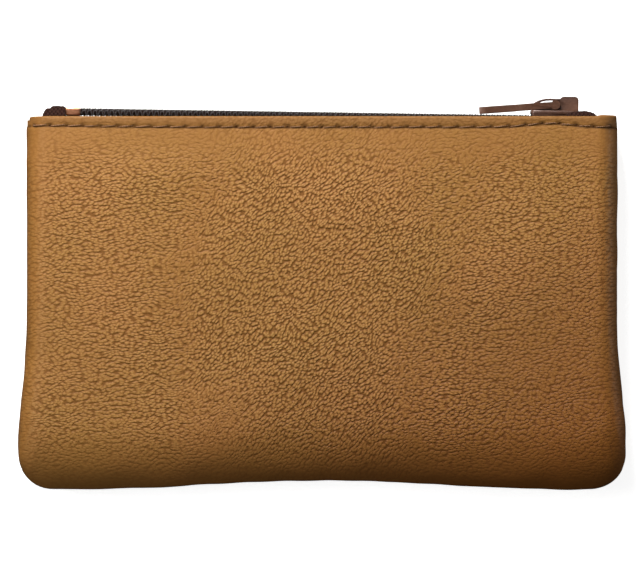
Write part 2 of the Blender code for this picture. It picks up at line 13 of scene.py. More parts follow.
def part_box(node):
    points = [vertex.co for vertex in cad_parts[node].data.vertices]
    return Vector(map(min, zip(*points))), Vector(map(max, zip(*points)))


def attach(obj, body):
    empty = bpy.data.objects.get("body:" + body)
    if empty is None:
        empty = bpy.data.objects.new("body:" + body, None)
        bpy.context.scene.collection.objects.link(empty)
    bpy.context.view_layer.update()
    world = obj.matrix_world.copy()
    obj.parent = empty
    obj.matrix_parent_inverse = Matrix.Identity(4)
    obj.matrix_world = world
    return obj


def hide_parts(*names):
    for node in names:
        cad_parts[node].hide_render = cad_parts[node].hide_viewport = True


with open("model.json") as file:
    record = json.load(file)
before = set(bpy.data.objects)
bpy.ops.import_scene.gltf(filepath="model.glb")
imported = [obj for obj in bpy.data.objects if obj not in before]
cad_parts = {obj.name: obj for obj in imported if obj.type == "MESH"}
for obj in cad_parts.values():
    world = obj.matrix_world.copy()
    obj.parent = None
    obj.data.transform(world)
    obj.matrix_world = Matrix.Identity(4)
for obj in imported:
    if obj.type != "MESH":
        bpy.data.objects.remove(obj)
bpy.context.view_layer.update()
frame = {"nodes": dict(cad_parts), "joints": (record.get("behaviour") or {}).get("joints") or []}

bl_info = {
    "name": "Zippered Leather Pouch",
    "version": (1, 0, 0),
    "blender": (4, 5, 0),
    "location": "3D View > Sidebar > Pouch",
    "description": "Makes the leather, sewing, zip and slider of a small zippered pouch",
    "category": "Add Mesh",
}

MM = 0.001
FRONT, BACK = 1, -1

# ---------------- places from the frame
PANEL_LOW, PANEL_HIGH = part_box("front_panel")
BACK_LOW, BACK_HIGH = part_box("back_panel")
MID = (PANEL_LOW.z + BACK_HIGH.z) / 2
SEAM_GAP = PANEL_LOW.z - BACK_HIGH.z
TOP = PANEL_HIGH.y
BOTTOM = PANEL_LOW.y
HEM_OUTER = PANEL_HIGH.z - MID
BELLY_WIDTH = PANEL_HIGH.x
JOINTS = {joint["name"]: joint for joint in frame["joints"]}
SLIDE = Vector(JOINTS["slider_slide"]["axis"])
PIN = Vector(JOINTS["pull_flip"]["pos_m"])

# The zip lies in a frame of its own: x along the chain, y out of the pouch, z across.
# Its origin is on the tapes, at the middle of the pouch's width.
PIN_X = 49.2 * MM
PIN_Y = 3.95 * MM
ZIP_TURN = math.atan2(-SLIDE.y, -SLIDE.x)
ZIP = Matrix.Translation(PIN) @ Matrix.Rotation(ZIP_TURN, 4, "Z") @ Matrix.Translation((-PIN_X, -PIN_Y, 0))

# ---------------- leather shape
BELLY = 1.8 * MM
BELLY_START = -5.0 * MM
BELLY_FULL = -31.0 * MM
TOP_HALF_WIDTH = BELLY_WIDTH - BELLY
CORNER_RADIUS = 7.5 * MM
BOTTOM_ARCH = 1.9 * MM
ARCH_HALF_LENGTH = 52.0 * MM
HEM_RADIUS = 0.95 * MM
HEM_DEPTH = 8.0 * MM
SIDE_CURL = 4.5 * MM
BOTTOM_CURL = 14.0 * MM
BOTTOM_FALL = 0.5
SEAM_TURN = 1.0 * MM
SEAM_ALLOWANCE = 4.0 * MM
BACK_HEM_LIFT = BACK_HIGH.z - BACK_LOW.z - HEM_OUTER + SEAM_GAP / 2
HEM_ZONE = 12.0 * MM
HEM_SAG = 0.27 * MM
PUCKER_SPACING = 7.5 * MM
STITCH_INSET = 2.2 * MM
STITCH_START = -60.9 * MM
STITCH_COUNT = 34
STITCH_STEP = -2 * STITCH_START / STITCH_COUNT
# Along a stitch: share of its length, millimetres below the leather's face and above the line
STITCH_POINTS = ((0.0, 1.05, 0.02), (0.06, 0.55, -0.1), (0.14, 0.3, -0.12), (0.28, 0.2, -0.08),
                 (0.5, 0.16, 0.0), (0.75, 0.18, 0.1), (0.88, 0.3, 0.16), (0.95, 0.6, 0.17))

# Cells of the fine leather mesh: even over the face, closer along the stitches
CELL = 0.6 * MM
CORNER_CELLS = 10
SPAN_CELLS = 172
RISE_CELLS = 92
STITCH_ROWS = 20
STITCH_CELL = 0.25 * MM
COLUMNS = SPAN_CELLS + 2 * CORNER_CELLS
ROWS = CORNER_CELLS + RISE_CELLS + STITCH_ROWS
CURL_RINGS = 12
TURN_RINGS = 4
ALLOWANCE_RINGS = 3
FOLD_STEPS = 12
FACING_ROWS = 5

# ---------------- zip sizes
PITCH = 1.18 * MM
CHAIN_START = -50.9 * MM
CHAIN_END = 54.0 * MM
TAPE = 0.4 * MM
TAPE_OUTER = 3.9 * MM
TAPE_DOWN = 8.5 * MM
TAPE_BEND = 0.65 * MM
COIL_LOW = 0.06 * MM
COIL_TOP = 1.76 * MM
COIL_INNER = 0.22 * MM
COIL_OUTER = 2.05 * MM
COIL_WIRE = 0.285 * MM
COIL_START = CHAIN_START - 0.5 * MM + COIL_WIRE
COIL_TURNS = int((CHAIN_END - CHAIN_START) / PITCH) - 1
COIL_TURN_POINTS = 14
COIL_SQUARE = 0.72
PLATE_UNDER = 1.9 * MM
PLATE_TOP = 2.75 * MM
LOWER_TOP = -0.9 * MM
LOWER_UNDER = -1.75 * MM
SLIDER_BACK = 44.0 * MM
SLIDER_NOSE = 54.2 * MM
SLIDER_HALF = 3.2 * MM
PAWL_SLOT_HALF = 0.5 * MM
CAP_HALF = 1.3 * MM


# The tape's ends are folded over twice and caught in the side seams: each wad's outline in x and y,
# and where it starts and ends across the zip, in millimetres
TAPE_FOLDS = (
    ("left_fold", [
        (-54.2, -0.3), (-54.2, 1.8), (-54.4, 2.0), (-55.6, 2.06), (-56.7, 2.03), (-57.05, 1.85), (-57.2, 1.6),
        (-57.5, 1.5), (-57.85, 1.55), (-58.25, 1.3), (-58.6, 0.85), (-58.85, 0.3), (-58.95, -0.3)], 3.93, 2.75),
    ("left_tuck", [
        (-54.4, -0.3), (-54.4, 1.3), (-54.7, 1.6), (-55.4, 1.72), (-56.4, 1.7), (-57.0, 1.5), (-57.4, 1.3),
        (-57.9, 1.1), (-58.3, 0.6), (-58.6, -0.3)], 2.9, 0.5),
    ("right_fold", [
        (50.85, -0.2), (50.95, 0.9), (51.3, 1.8), (52.0, 2.3), (53.2, 2.55), (54.3, 2.66), (55.5, 2.72),
        (56.6, 2.55), (57.5, 2.12), (58.2, 1.5), (58.7, 0.8), (58.95, -0.2)], 3.35, 3.93),
    ("right_tuck", [
        (54.75, -0.2), (54.75, 1.9), (55.0, 2.2), (55.6, 2.4), (56.5, 2.3), (57.4, 1.9), (58.1, 1.2),
        (58.6, -0.2)], 3.5, 0.6),
)

# ---------------- sizes of the materials' patterns
WANDER_SPACING = 7 * MM
WANDER_REACH = 2.0 * MM
REGION_SPACING = 22 * MM
PATCH_SPACING = 17 * MM
PORE_SPACING = 0.28 * MM
PLY_SPACING = 0.3 * MM
WEFT_SPACING = 0.42 * MM
WARP_SPACING = 1.0 * MM
FUZZ_SPACING = 0.12 * MM
PEEL_SPACING = 0.55 * MM
DIE_MARK_SPACING = 0.22 * MM
# A Wave texture at scale 1 has a band every 2 pi / 20 units
WAVE_UNIT = 6.283 / 20


# ================================ small helpers

def linear(hex_colour):
    """sRGB hex colour to linear RGBA."""
    channels = [int(hex_colour[i:i + 2], 16) / 255 for i in (1, 3, 5)]
    return [c / 12.92 if c <= 0.04045 else ((c + 0.055) / 1.055) ** 2.4 for c in channels] + [1.0]


def smooth(t):
    t = min(max(t, 0.0), 1.0)
    return t * t * (3 - 2 * t)


def bell(t):
    return math.exp(-t * t)


def wobble(x, y=0.0, z=0.0):
    """Smooth noise about zero, at a place counted in its own cells."""
    return noise.noise(Vector((x, y, z)))


def deselect():
    if bpy.context.mode != "OBJECT":
        bpy.ops.object.mode_set(mode="OBJECT")
    bpy.ops.object.select_all(action="DESELECT")


def activate(obj):
    deselect()
    obj.select_set(True)
    bpy.context.view_layer.objects.active = obj


def named(name):
    """Name the object that an operator has just made."""
    obj = bpy.context.view_layer.objects.active
    obj.name = name
    obj.data.name = name
    return obj


def apply_modifiers(obj):
    activate(obj)
    for modifier in list(obj.modifiers):
        bpy.ops.object.modifier_apply(modifier=modifier.name)


def face_outward(weld=0.0):
    """Turn the active mesh's faces outward, with vertices nearer than the weld joined first."""
    bpy.ops.object.mode_set(mode="EDIT")
    bpy.ops.mesh.select_all(action="SELECT")
    if weld:
        bpy.ops.mesh.remove_doubles(threshold=weld)
    bpy.ops.mesh.normals_make_consistent(inside=False)
    bpy.ops.object.mode_set(mode="OBJECT")


def shade(obj, angle):
    """Smooth shading, but for the edges sharper than the angle."""
    activate(obj)
    bpy.ops.object.shade_smooth_by_angle(angle=math.radians(angle))


def place_in_zip(obj):
    """Move a finished mesh from the zip's frame to the pouch's, with the object still at the origin."""
    obj.data.transform(ZIP)
    obj.data.update()
    return obj


def finish_piece(obj, mat, nodes, body):
    if not obj.data.polygons:
        raise RuntimeError(f"{obj.name} has no faces")
    obj.data.materials.clear()
    obj.data.materials.append(mat)
    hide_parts(*nodes)
    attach(obj, body)


def tube(name, points, radius, sides=8):
    """A round thread or wire along points, as a mesh."""
    deselect()
    bpy.ops.curve.primitive_nurbs_path_add()
    obj = named(name)
    curve = obj.data
    curve.splines.clear()
    spline = curve.splines.new("POLY")
    spline.points.add(len(points) - 1)
    for point, place in zip(spline.points, points):
        point.co = (*place, 1.0)
    curve.bevel_depth = radius
    curve.bevel_resolution = sides // 2 - 2
    curve.use_fill_caps = True
    activate(obj)
    bpy.ops.object.convert(target="MESH")
    obj = bpy.context.view_layer.objects.active
    obj.location = (0.0, 0.0, 0.0)
    face_outward(0.001 * MM)
    bpy.ops.object.shade_smooth()
    return obj


def slab(name, outline, low, high, plane="xz"):
    """A plate: a filled circle moved onto an outline in the plane, then extruded across it."""
    deselect()
    bpy.ops.mesh.primitive_circle_add(vertices=len(outline), fill_type="NGON")
    obj = named(name)

    def place(a, b, c):
        return {"xz": (a, c, b), "xy": (a, b, c), "yz": (c, a, b)}[plane]
    for vert, (a, b) in zip(obj.data.vertices, outline):
        vert.co = place(a, b, low)
    bpy.ops.object.mode_set(mode="EDIT")
    bpy.ops.mesh.select_all(action="SELECT")
    bpy.ops.mesh.extrude_region_move(TRANSFORM_OT_translate={"value": place(0.0, 0.0, high - low)})
    bpy.ops.object.mode_set(mode="OBJECT")
    face_outward()
    obj.location = (0.0, 0.0, 0.0)
    return obj


def block(name, low, high):
    """A plain block, used as a start or as a cutter."""
    outline = [(low[0], low[2]), (high[0], low[2]), (high[0], high[2]), (low[0], high[2])]
    return slab(name, outline, low[1], high[1])


def soften(obj, width, segments=3, angle=35):
    """Round the edges that are sharper than the angle."""
    bevel = obj.modifiers.new("rounded edges", "BEVEL")
    bevel.width = width
    bevel.segments = segments
    bevel.limit_method = "ANGLE"
    bevel.angle_limit = math.radians(angle)
    bevel.use_clamp_overlap = True
    apply_modifiers(obj)
    shade(obj, 50)


def combine(base, tools, operation="UNION"):
    """Boolean the tools into the base and remove them."""
    for tool in tools:
        cut = base.modifiers.new(tool.name, "BOOLEAN")
        cut.operation = operation
        cut.solver = "EXACT"
        cut.object = tool
        apply_modifiers(base)
        bpy.data.objects.remove(tool, do_unlink=True)
        if not base.data.polygons:
            raise RuntimeError(f"a boolean left nothing of {base.name}")
    return base


def arc(centre, radius, start, end, steps):
    """Points of an arc, angles in degrees."""
    angles = [math.radians(start + (end - start) * i / steps) for i in range(steps + 1)]
    return [(centre[0] + radius * math.cos(angle), centre[1] + radius * math.sin(angle)) for angle in angles]


def mirrored(half):
    """A half outline and its mirror image, in one run of points."""
    return half + [(x, -y) for x, y in reversed(half)]


def in_metres(outline):
    return [(x * MM, y * MM) for x, y in outline]


# ================================ materials

def node(tree, kind, *values, out=0, stops=(), **named):
    """Add a node with its settings, ramp stops and inputs, and return one of its outputs.

    An input is a value or another node's output, given in order or by name.
    """
    made = tree.nodes.new("ShaderNode" + kind)
    inputs = dict(enumerate(values))
    for name, value in named.items():
        if hasattr(made, name):
            setattr(made, name, value)
        else:
            inputs[name.replace("_", " ")] = value
    for key, value in inputs.items():
        if isinstance(value, bpy.types.NodeSocket):
            tree.links.new(value, made.inputs[key])
        else:
            made.inputs[key].default_value = value
    for index, (position, colour) in enumerate(stops):
        elements = made.color_ramp.elements
        element = elements[index] if index < 2 else elements.new(position)
        element.position = position
        element.color = colour
    return made.outputs[out]


def new_material(name, colour, roughness, **sockets):
    """A material, a function that adds nodes to it, and the object coordinates its patterns read."""
    mat = bpy.data.materials.new(name)
    mat.use_nodes = True
    mat.diffuse_color = colour
    inputs = mat.node_tree.nodes["Principled BSDF"].inputs
    inputs["Base Color"].default_value = colour
    inputs["Roughness"].default_value = roughness
    for socket, value in sockets.items():
        inputs[socket.replace("_", " ")].default_value = value
    add = partial(node, mat.node_tree)
    return mat, add, add("TexCoord", out="Object")


def dressed(mat, **sources):
    """Link outputs to the inputs of a material's shader, given by name."""
    for name, source in sources.items():
        shader = mat.node_tree.nodes["Principled BSDF"]
        mat.node_tree.links.new(source, shader.inputs[name.replace("_", " ")])
    return mat


def grey(value):
    return (value, value, value, 1.0)


def camel_lambskin(looks):
    """Drum-dyed lambskin: soft, semi-matt, with fine wrinkled grain in shallow, wandering creases."""
    mat, add, place = new_material("camel lambskin", looks.leather_colour, 0.5, Specular_IOR_Level=0.28)
    # The grain wanders: slow noise pushes the pattern by up to 1 mm
    wander = add("TexNoise", out="Color", Vector=place, Scale=1 / WANDER_SPACING, Detail=1.0)
    centred = add("VectorMath", wander, (0.5, 0.5, 0.5), operation="SUBTRACT")
    pushed = add("VectorMath", centred, (WANDER_REACH,) * 3, place, operation="MULTIPLY_ADD")

    def wrinkles(turn, length):
        """Wrinkled pebbles with thin valleys, longer along the turned x axis."""
        turned = add("Mapping", Vector=pushed, vector_type="TEXTURE",
                     Rotation=(0.0, 0.0, math.radians(turn)), Scale=(length, 1.0, 1.0))
        fold = add("TexNoise", out="Fac", noise_type="FBM", Vector=turned,
                   Scale=2 / looks.grain_size, Detail=0.0, Roughness=0.5, Distortion=0.7)
        pebble = add("TexVoronoi", out="Distance", feature="SMOOTH_F1", voronoi_dimensions="2D",
                     Vector=turned, Scale=1 / looks.grain_size, Smoothness=0.15, Randomness=1.0)
        dome = add("Math", 0.85, pebble, operation="SUBTRACT")
        return add("Math", fold, 0.35, dome, operation="MULTIPLY_ADD")

    # Wrinkles lie level by the sides and rise to the right over the middle
    parts = add("SeparateXYZ", place).node.outputs
    region = add("TexNoise", out="Fac", Vector=place, Scale=1 / REGION_SPACING, Detail=1.0)
    from_middle = add("Math", parts["X"], operation="ABSOLUTE")
    uneven = add("Math", region, 0.9, operation="MULTIPLY")
    outward = add("Math", from_middle, 1 / (60 * MM), uneven, operation="MULTIPLY_ADD")
    rising = add("ValToRGB", outward, stops=[(0.75, grey(1)), (1.0, grey(0))])
    grain = add("Mix", out="Result", data_type="FLOAT", Factor=rising,
                 A=wrinkles(5, 1.65), B=wrinkles(45, 1.5))
    strength = add("Attribute", out="Fac", attribute_name="grain")
    pores = add("TexNoise", out="Fac", Vector=place, Scale=1 / PORE_SPACING, Detail=2.0)
    height = add("Math", pores, 0.18, grain, operation="MULTIPLY_ADD")
    plateau = add("ValToRGB", height, stops=[(0.42, grey(0)), (0.68, grey(0.75)), (1, grey(1))])
    relief = add("Math", plateau, strength, operation="MULTIPLY")
    bump = add("Bump", out="Normal", Height=relief, Strength=1.0, Distance=looks.grain_depth)

    # Dye gathers in the valleys, which also carry painted shade, the ridges carry a painted highlight, and the
    # skin takes the dye a little unevenly
    even = 0.64     # the grain's height that takes the leather's own colour
    above = add("Math", grain, even, operation="SUBTRACT")
    dye_and_grain_shading = add("Math", above, strength, even, operation="MULTIPLY_ADD")
    colour = add("ValToRGB", dye_and_grain_shading, stops=[
        (0.36, looks.valley_dye_and_shade_colour), (0.62, looks.leather_colour), (0.9, looks.ridge_highlight_colour)])
    patch = add("TexNoise", out="Fac", Vector=place, Scale=1 / PATCH_SPACING, Detail=3.0)
    tint = add("ValToRGB", patch, stops=[(0.3, (0.96, 0.98, 0.9, 1)), (0.7, (1.05, 1.02, 1.06, 1))])
    # Painted shade darkens the skin towards the lower right corner, standing in for the light falling off there
    down = add("Math", parts["Y"], -0.55 / (40 * MM), operation="MULTIPLY")
    slope = add("Math", parts["X"], 0.45 / (64 * MM), down, operation="MULTIPLY_ADD")
    lower_right_shade = add("ValToRGB", slope, stops=[
        (0.08, grey(1)), (0.32, (0.89, 0.84, 0.8, 1)), (0.66, (0.76, 0.64, 0.48, 1)),
        (0.85, (0.74, 0.58, 0.36, 1))])
    # The crease attribute is painted shade along the sewing: a shadow line, dark holes and a darker welt
    crease = add("Attribute", out="Fac", attribute_name="crease")
    for share, layer in ((1.0, tint), (1.0, lower_right_shade), (crease, looks.stitch_shade_colour)):
        colour = add("Mix", out="Result", data_type="RGBA", blend_type="MULTIPLY",
                      Factor=share, A=colour, B=layer)
    gloss = add("ValToRGB", height, stops=[(0.5, grey(0.62)), (0.9, grey(0.5))])
    dulled = add("Math", crease, 0.35, gloss, operation="MULTIPLY_ADD")
    return dressed(mat, Base_Color=colour, Normal=bump, Roughness=dulled)


def twisted_polyester(name, colour, shade_colour):
    """Corespun polyester sewing thread: plies seen as slanting ridges, with a slight fuzz."""
    mat, add, place = new_material(name, colour, 0.55, Sheen_Weight=0.15)
    turned = add("Mapping", Vector=place, Rotation=(0.0, 0.0, math.radians(35)))
    plies = add("TexWave", out="Fac", Vector=turned, wave_type="BANDS", bands_direction="X",
                 Scale=WAVE_UNIT / PLY_SPACING, Distortion=0.6)
    bump = add("Bump", out="Normal", Height=plies, Strength=0.8, Distance=0.05 * MM)
    # Painted shade between the plies
    shade = add("ValToRGB", plies, stops=[(0.1, shade_colour), (0.7, colour)])
    return dressed(mat, Base_Color=shade, Normal=bump)


def woven_tape(looks):
    """Dense polyester webbing: matt, with painted shade in the gaps between warp ends and weft picks."""
    mat, add, place = new_material("woven polyester tape", looks.tape_colour, 0.8, Specular_IOR_Level=0.2)
    parts = add("SeparateXYZ", place).node.outputs
    over = add("Math", parts["Y"], parts["Z"], operation="ADD")
    waves = []
    for source, spacing, shift in ((parts["X"], 2 * WEFT_SPACING, 0.0), (over, WARP_SPACING, 0.7),
                                   (parts["X"], WEFT_SPACING, 1.2)):
        turns = add("Math", source, 2 * math.pi / spacing, shift, operation="MULTIPLY_ADD")
        waves.append(add("Math", turns, operation="SINE"))
    weft, warp, fine = waves
    plain = add("Math", weft, warp, operation="MULTIPLY")
    picks = add("Math", fine, 0.35, operation="MULTIPLY")
    weave = add("Math", plain, 0.5, picks, operation="MULTIPLY_ADD")
    fuzz = add("TexNoise", out="Fac", Vector=place, Scale=1 / FUZZ_SPACING, Detail=2.0)
    height = add("Math", fuzz, 0.5, weave, operation="MULTIPLY_ADD")
    bump = add("Bump", out="Normal", Height=height, Strength=1.0, Distance=0.12 * MM)
    depth_in = add("Math", height, 0.4, 0.4, operation="MULTIPLY_ADD")
    # Painted shade in the gaps between the threads
    shade = add("ValToRGB", depth_in, stops=[(0.15, looks.tape_shade), (0.75, looks.tape_colour)])
    return dressed(mat, Base_Color=shade, Normal=bump)


def nylon_monofilament(looks):
    """Extruded nylon wire: smooth and slightly glossy, with faint drawing marks."""
    mat, add, place = new_material("nylon monofilament", looks.coil_colour, 0.4, IOR=1.53,
                                            Specular_IOR_Level=0.3)
    marks = add("TexNoise", out="Fac", Vector=place, Scale=1 / (0.5 * MM), Detail=3.0)
    gloss = add("ValToRGB", marks, stops=[(0.3, grey(0.34)), (0.7, grey(0.5))])
    shade = add("ValToRGB", marks, stops=[(0.25, looks.coil_shade), (0.75, looks.coil_colour)])
    return dressed(mat, Base_Color=shade, Roughness=gloss)


def lacquered_zinc(looks):
    """Die-cast zinc under baked brown lacquer: soft highlights, faint orange peel, rubbed edges."""
    mat, add, place = new_material("brown lacquered zinc", looks.slider_colour, 0.36, Metallic=0.15,
                                            Coat_Weight=0.2, Coat_Roughness=0.22)
    peel = add("TexNoise", out="Fac", Vector=place, Scale=1 / PEEL_SPACING, Detail=3.0)
    bump = add("Bump", out="Normal", Height=peel, Strength=0.35, Distance=0.06 * MM)
    worn = add("NewGeometry", out="Pointiness")
    edge = add("ValToRGB", worn, stops=[(0.5, looks.slider_colour), (0.62, looks.slider_edge)])
    patch = add("ValToRGB", peel, stops=[(0.3, grey(0.82)), (0.7, grey(1.12))])
    colour = add("Mix", out="Result", data_type="RGBA", blend_type="MULTIPLY",
                  Factor=1.0, A=edge, B=patch)
    gloss = add("ValToRGB", peel, stops=[(0.3, grey(0.3)), (0.7, grey(0.44))])
    return dressed(mat, Base_Color=colour, Normal=bump, Roughness=gloss)


def plated_metal(name, colour, shade, roughness):
    """Thin plating on stamped wire: satin, with die marks along the strip."""
    mat, add, place = new_material(name, colour, roughness, Metallic=1.0)
    long = add("Mapping", Vector=place, Scale=(0.25, 1.0, 1.0))
    marks = add("TexNoise", out="Fac", Vector=long, Scale=1 / DIE_MARK_SPACING, Detail=3.0)
    bump = add("Bump", out="Normal", Height=marks, Strength=0.4, Distance=0.03 * MM)
    tone = add("ValToRGB", marks, stops=[(0.25, shade), (0.7, colour)])
    gloss = add("ValToRGB", marks, stops=[(0.3, grey(roughness - 0.06)), (0.7, grey(roughness + 0.1))])
    return dressed(mat, Base_Color=tone, Normal=bump, Roughness=gloss)


# ================================ leather panels

def half_width(y):
    return TOP_HALF_WIDTH + BELLY * smooth((BELLY_START - y) / (BELLY_START - BELLY_FULL))


def hem_taper(x, y):
    """The left end of the hem is drawn in a little more than the right one."""
    amount = 0.6 * MM if x < 0 else 0.1 * MM
    return amount * smooth((y - TOP + 3.2 * MM) / (2.6 * MM)) * smooth((abs(x) - 55 * MM) / (7 * MM))


def bottom_edge(x):
    if abs(x) > ARCH_HALF_LENGTH:
        return BOTTOM
    return BOTTOM + BOTTOM_ARCH * math.cos(math.pi * x / (2 * ARCH_HALF_LENGTH)) ** 2


def across(column):
    """Where a column stands, from -1 at the left to 1 at the right."""
    half = COLUMNS // 2
    if column > half:
        return -across(COLUMNS - column)
    reach = TOP_HALF_WIDTH - SIDE_CURL
    near = CORNER_CELLS * CELL
    if column <= CORNER_CELLS:
        return column * CELL / reach - 1
    return (near + (reach - near) * (column - CORNER_CELLS) / (half - CORNER_CELLS)) / reach - 1


def rise(row, low, high):
    """Height of a row: even cells, with closer ones along the stitches at the top."""
    near = CORNER_CELLS * CELL
    close = STITCH_ROWS * STITCH_CELL
    if row <= CORNER_CELLS:
        return low + row * CELL
    if row >= ROWS - STITCH_ROWS:
        return high - (ROWS - row) * STITCH_CELL
    return low + near + (high - close - low - near) * (row - CORNER_CELLS) / RISE_CELLS


def grid_place(column, row):
    """Plan position of a vertex of a panel's flat part."""
    share = across(column)
    low = bottom_edge(share * TOP_HALF_WIDTH) + BOTTOM_CURL
    y = rise(row, low, TOP - HEM_RADIUS)
    return Vector((share * (half_width(y) - SIDE_CURL), y))


def outline_place(column, row):
    """Plan position on the outline that a border vertex belongs to."""
    centre_x = BELLY_WIDTH - CORNER_RADIUS
    centre_y = BOTTOM + CORNER_RADIUS
    side = -1 if column <= COLUMNS // 2 else 1
    from_side = min(column, COLUMNS - column)
    if column in (0, COLUMNS) and row > CORNER_CELLS:
        low = centre_y - CORNER_CELLS * CELL
        y = rise(row, low, TOP - HEM_RADIUS)
        return Vector((side * half_width(y), y)), Vector((-side, 0.0))
    if from_side > CORNER_CELLS:
        share = (column - CORNER_CELLS) / (COLUMNS - 2 * CORNER_CELLS)
        x = centre_x * (2 * share - 1)
        return Vector((x, bottom_edge(x))), Vector((0.0, 1.0))
    steps_up = row if column in (0, COLUMNS) else -from_side
    angle = math.radians(45 * (1 - steps_up / CORNER_CELLS))
    outward = Vector((side * math.cos(angle), -math.sin(angle)))
    return Vector((side * centre_x, centre_y)) + outward * CORNER_RADIUS, -outward


def depth(side, y):
    """How far a panel's outer face lies from the middle of the pouch, before any relief."""
    if side == BACK:
        return HEM_OUTER + BACK_HEM_LIFT * smooth((TOP - y - HEM_DEPTH / 2) / HEM_ZONE)
    down = (TOP - HEM_RADIUS - y) / (TOP - BOTTOM)
    belly = 0.15 * MM * math.sin(math.pi * min(down * 1.6, 1.0))
    return HEM_OUTER + belly - 0.8 * MM * down ** 2


def hole_x(index):
    """Where the needle went in, a little uneven as hand-guided sewing is."""
    return STITCH_START + index * STITCH_STEP + 0.12 * MM * wobble(index * 3.7, 1.3)


def stitch_y(x):
    """The sewing line wanders a little below the fold."""
    wander = 0.1 * MM * wobble(x / (9 * MM), 4.1)
    near_slider = 0.75 * MM * bell((x - 47.5 * MM) / (6.5 * MM))
    near_stop = 0.35 * MM * bell((x + 60 * MM) / (16 * MM))
    return TOP - STITCH_INSET - 0.3 * MM + wander + near_slider + near_stop


def from_stitch(x, y):
    """How far a place is to the right of the nearest needle hole, and how far above the sewing line."""
    index = min(max(round((x - STITCH_START) / STITCH_STEP), 0), STITCH_COUNT)
    return x - hole_x(index), y - stitch_y(x)


def relief(side, x, y, rim):
    """Height added to the outer face: broad undulation, creases, seam pull and sewing."""
    seed = 0.0 if side == FRONT else 50.0
    at = Vector((x, y, 0.0))
    calm = smooth(rim / (7 * MM))
    below_hem = smooth((TOP - 5 * MM - y) / (8 * MM))
    broad = 0.32 * MM * noise.noise(at / (24 * MM) + Vector((seed, 2.0, 0.0)))
    bent = at + 2.5 * MM * noise.noise_vector(at / (11 * MM) + Vector((seed, 0.0, 5.0)))
    crease = wobble(bent.x / (5.2 * MM), bent.y / (2.3 * MM), seed)
    small = wobble(bent.x / (2.6 * MM), bent.y / (1.3 * MM), seed + 9)
    high = calm * below_hem * (broad + 0.05 * MM * crease + 0.03 * MM * small)
    # Upright tucks under the middle of the zip
    tucked = bell((x - 2 * MM) / (5 * MM)) * smooth((TOP - 3 * MM - y) / (3 * MM))
    tucked *= smooth((y - TOP + 24 * MM) / (14 * MM))
    lean = x + 0.12 * (TOP - y)
    high += tucked * (0.1 * MM * wobble(lean / (1.5 * MM), y / (9 * MM), seed) - 0.08 * MM)
    # The turned seam pulls the edge into soft puckers
    pucker = wobble(x / PUCKER_SPACING, y / PUCKER_SPACING, seed + 3)
    return high + 0.26 * MM * pucker * math.exp(-rim / (3.5 * MM)) * smooth((TOP - y) / (6 * MM))


def sewing_pull(x, y):
    """How the stitches draw the hem in: a groove, a hole at each end, a puffed edge and small tucks."""
    along, off = from_stitch(x, y)
    inside = smooth((TOP_HALF_WIDTH + 0.5 * MM - abs(x)) / MM)
    groove = -0.22 * MM * smooth((0.15 * MM - off) / (0.35 * MM)) * math.exp(-max(-off, 0.0) / (8 * MM))
    hole = -0.25 * MM * bell(along / (0.45 * MM)) * bell((off + along * 0.35) / (0.3 * MM))
    puff = 0.07 * MM * bell((off - 0.9 * MM) / (0.5 * MM))
    puff *= 0.75 - 0.4 * math.cos(2 * math.pi * along / STITCH_STEP)
    tuck = -0.1 * MM * bell(along / (0.5 * MM)) * math.exp(-max(-off, 0.0) / (1.6 * MM))
    tuck *= bell(max(off, 0.0) / (0.6 * MM))
    return inside * (groove + hole + puff + tuck)


def stitch_shade(x, y):
    """Painted shade: a shadow line under the stitches, a dark slanting hole at each end of a stitch, and some
    darkening over the welt above.
    """
    along, off = from_stitch(x, y)
    line = 0.9 * bell((off + 0.25 * MM) / (0.16 * MM))
    hole = bell(along / (0.5 * MM)) * bell((off + along * 0.5) / (0.24 * MM))
    welt = 0.27 * smooth((off - 0.2 * MM) / (0.5 * MM))
    return min(line + hole + welt, 1.0)


def grain_strength(x, y, rim):
    """Grain is stretched flat by the hem, the seam and the smooth lower edge."""
    at = Vector((x, y, 0.0))
    drift = 0.95 + 0.22 * noise.noise(at / (19 * MM) + Vector((7.0, 1.0, 0.0)))
    hem = 0.3 + 0.7 * smooth((TOP - 3.5 * MM - y) / (12 * MM))
    low = 0.3 + 0.7 * smooth((y - BOTTOM - 3 * MM) / (14 * MM))
    edge = 0.35 + 0.65 * smooth(rim / (7 * MM))
    middle = 0.72 + 0.43 * bell((x - 5 * MM) / (33 * MM))
    worn = 1.0 - 0.25 * smooth((x - 18 * MM) / (26 * MM)) * smooth((6 * MM - y) / (22 * MM))
    return drift * hem * low * edge * middle * worn


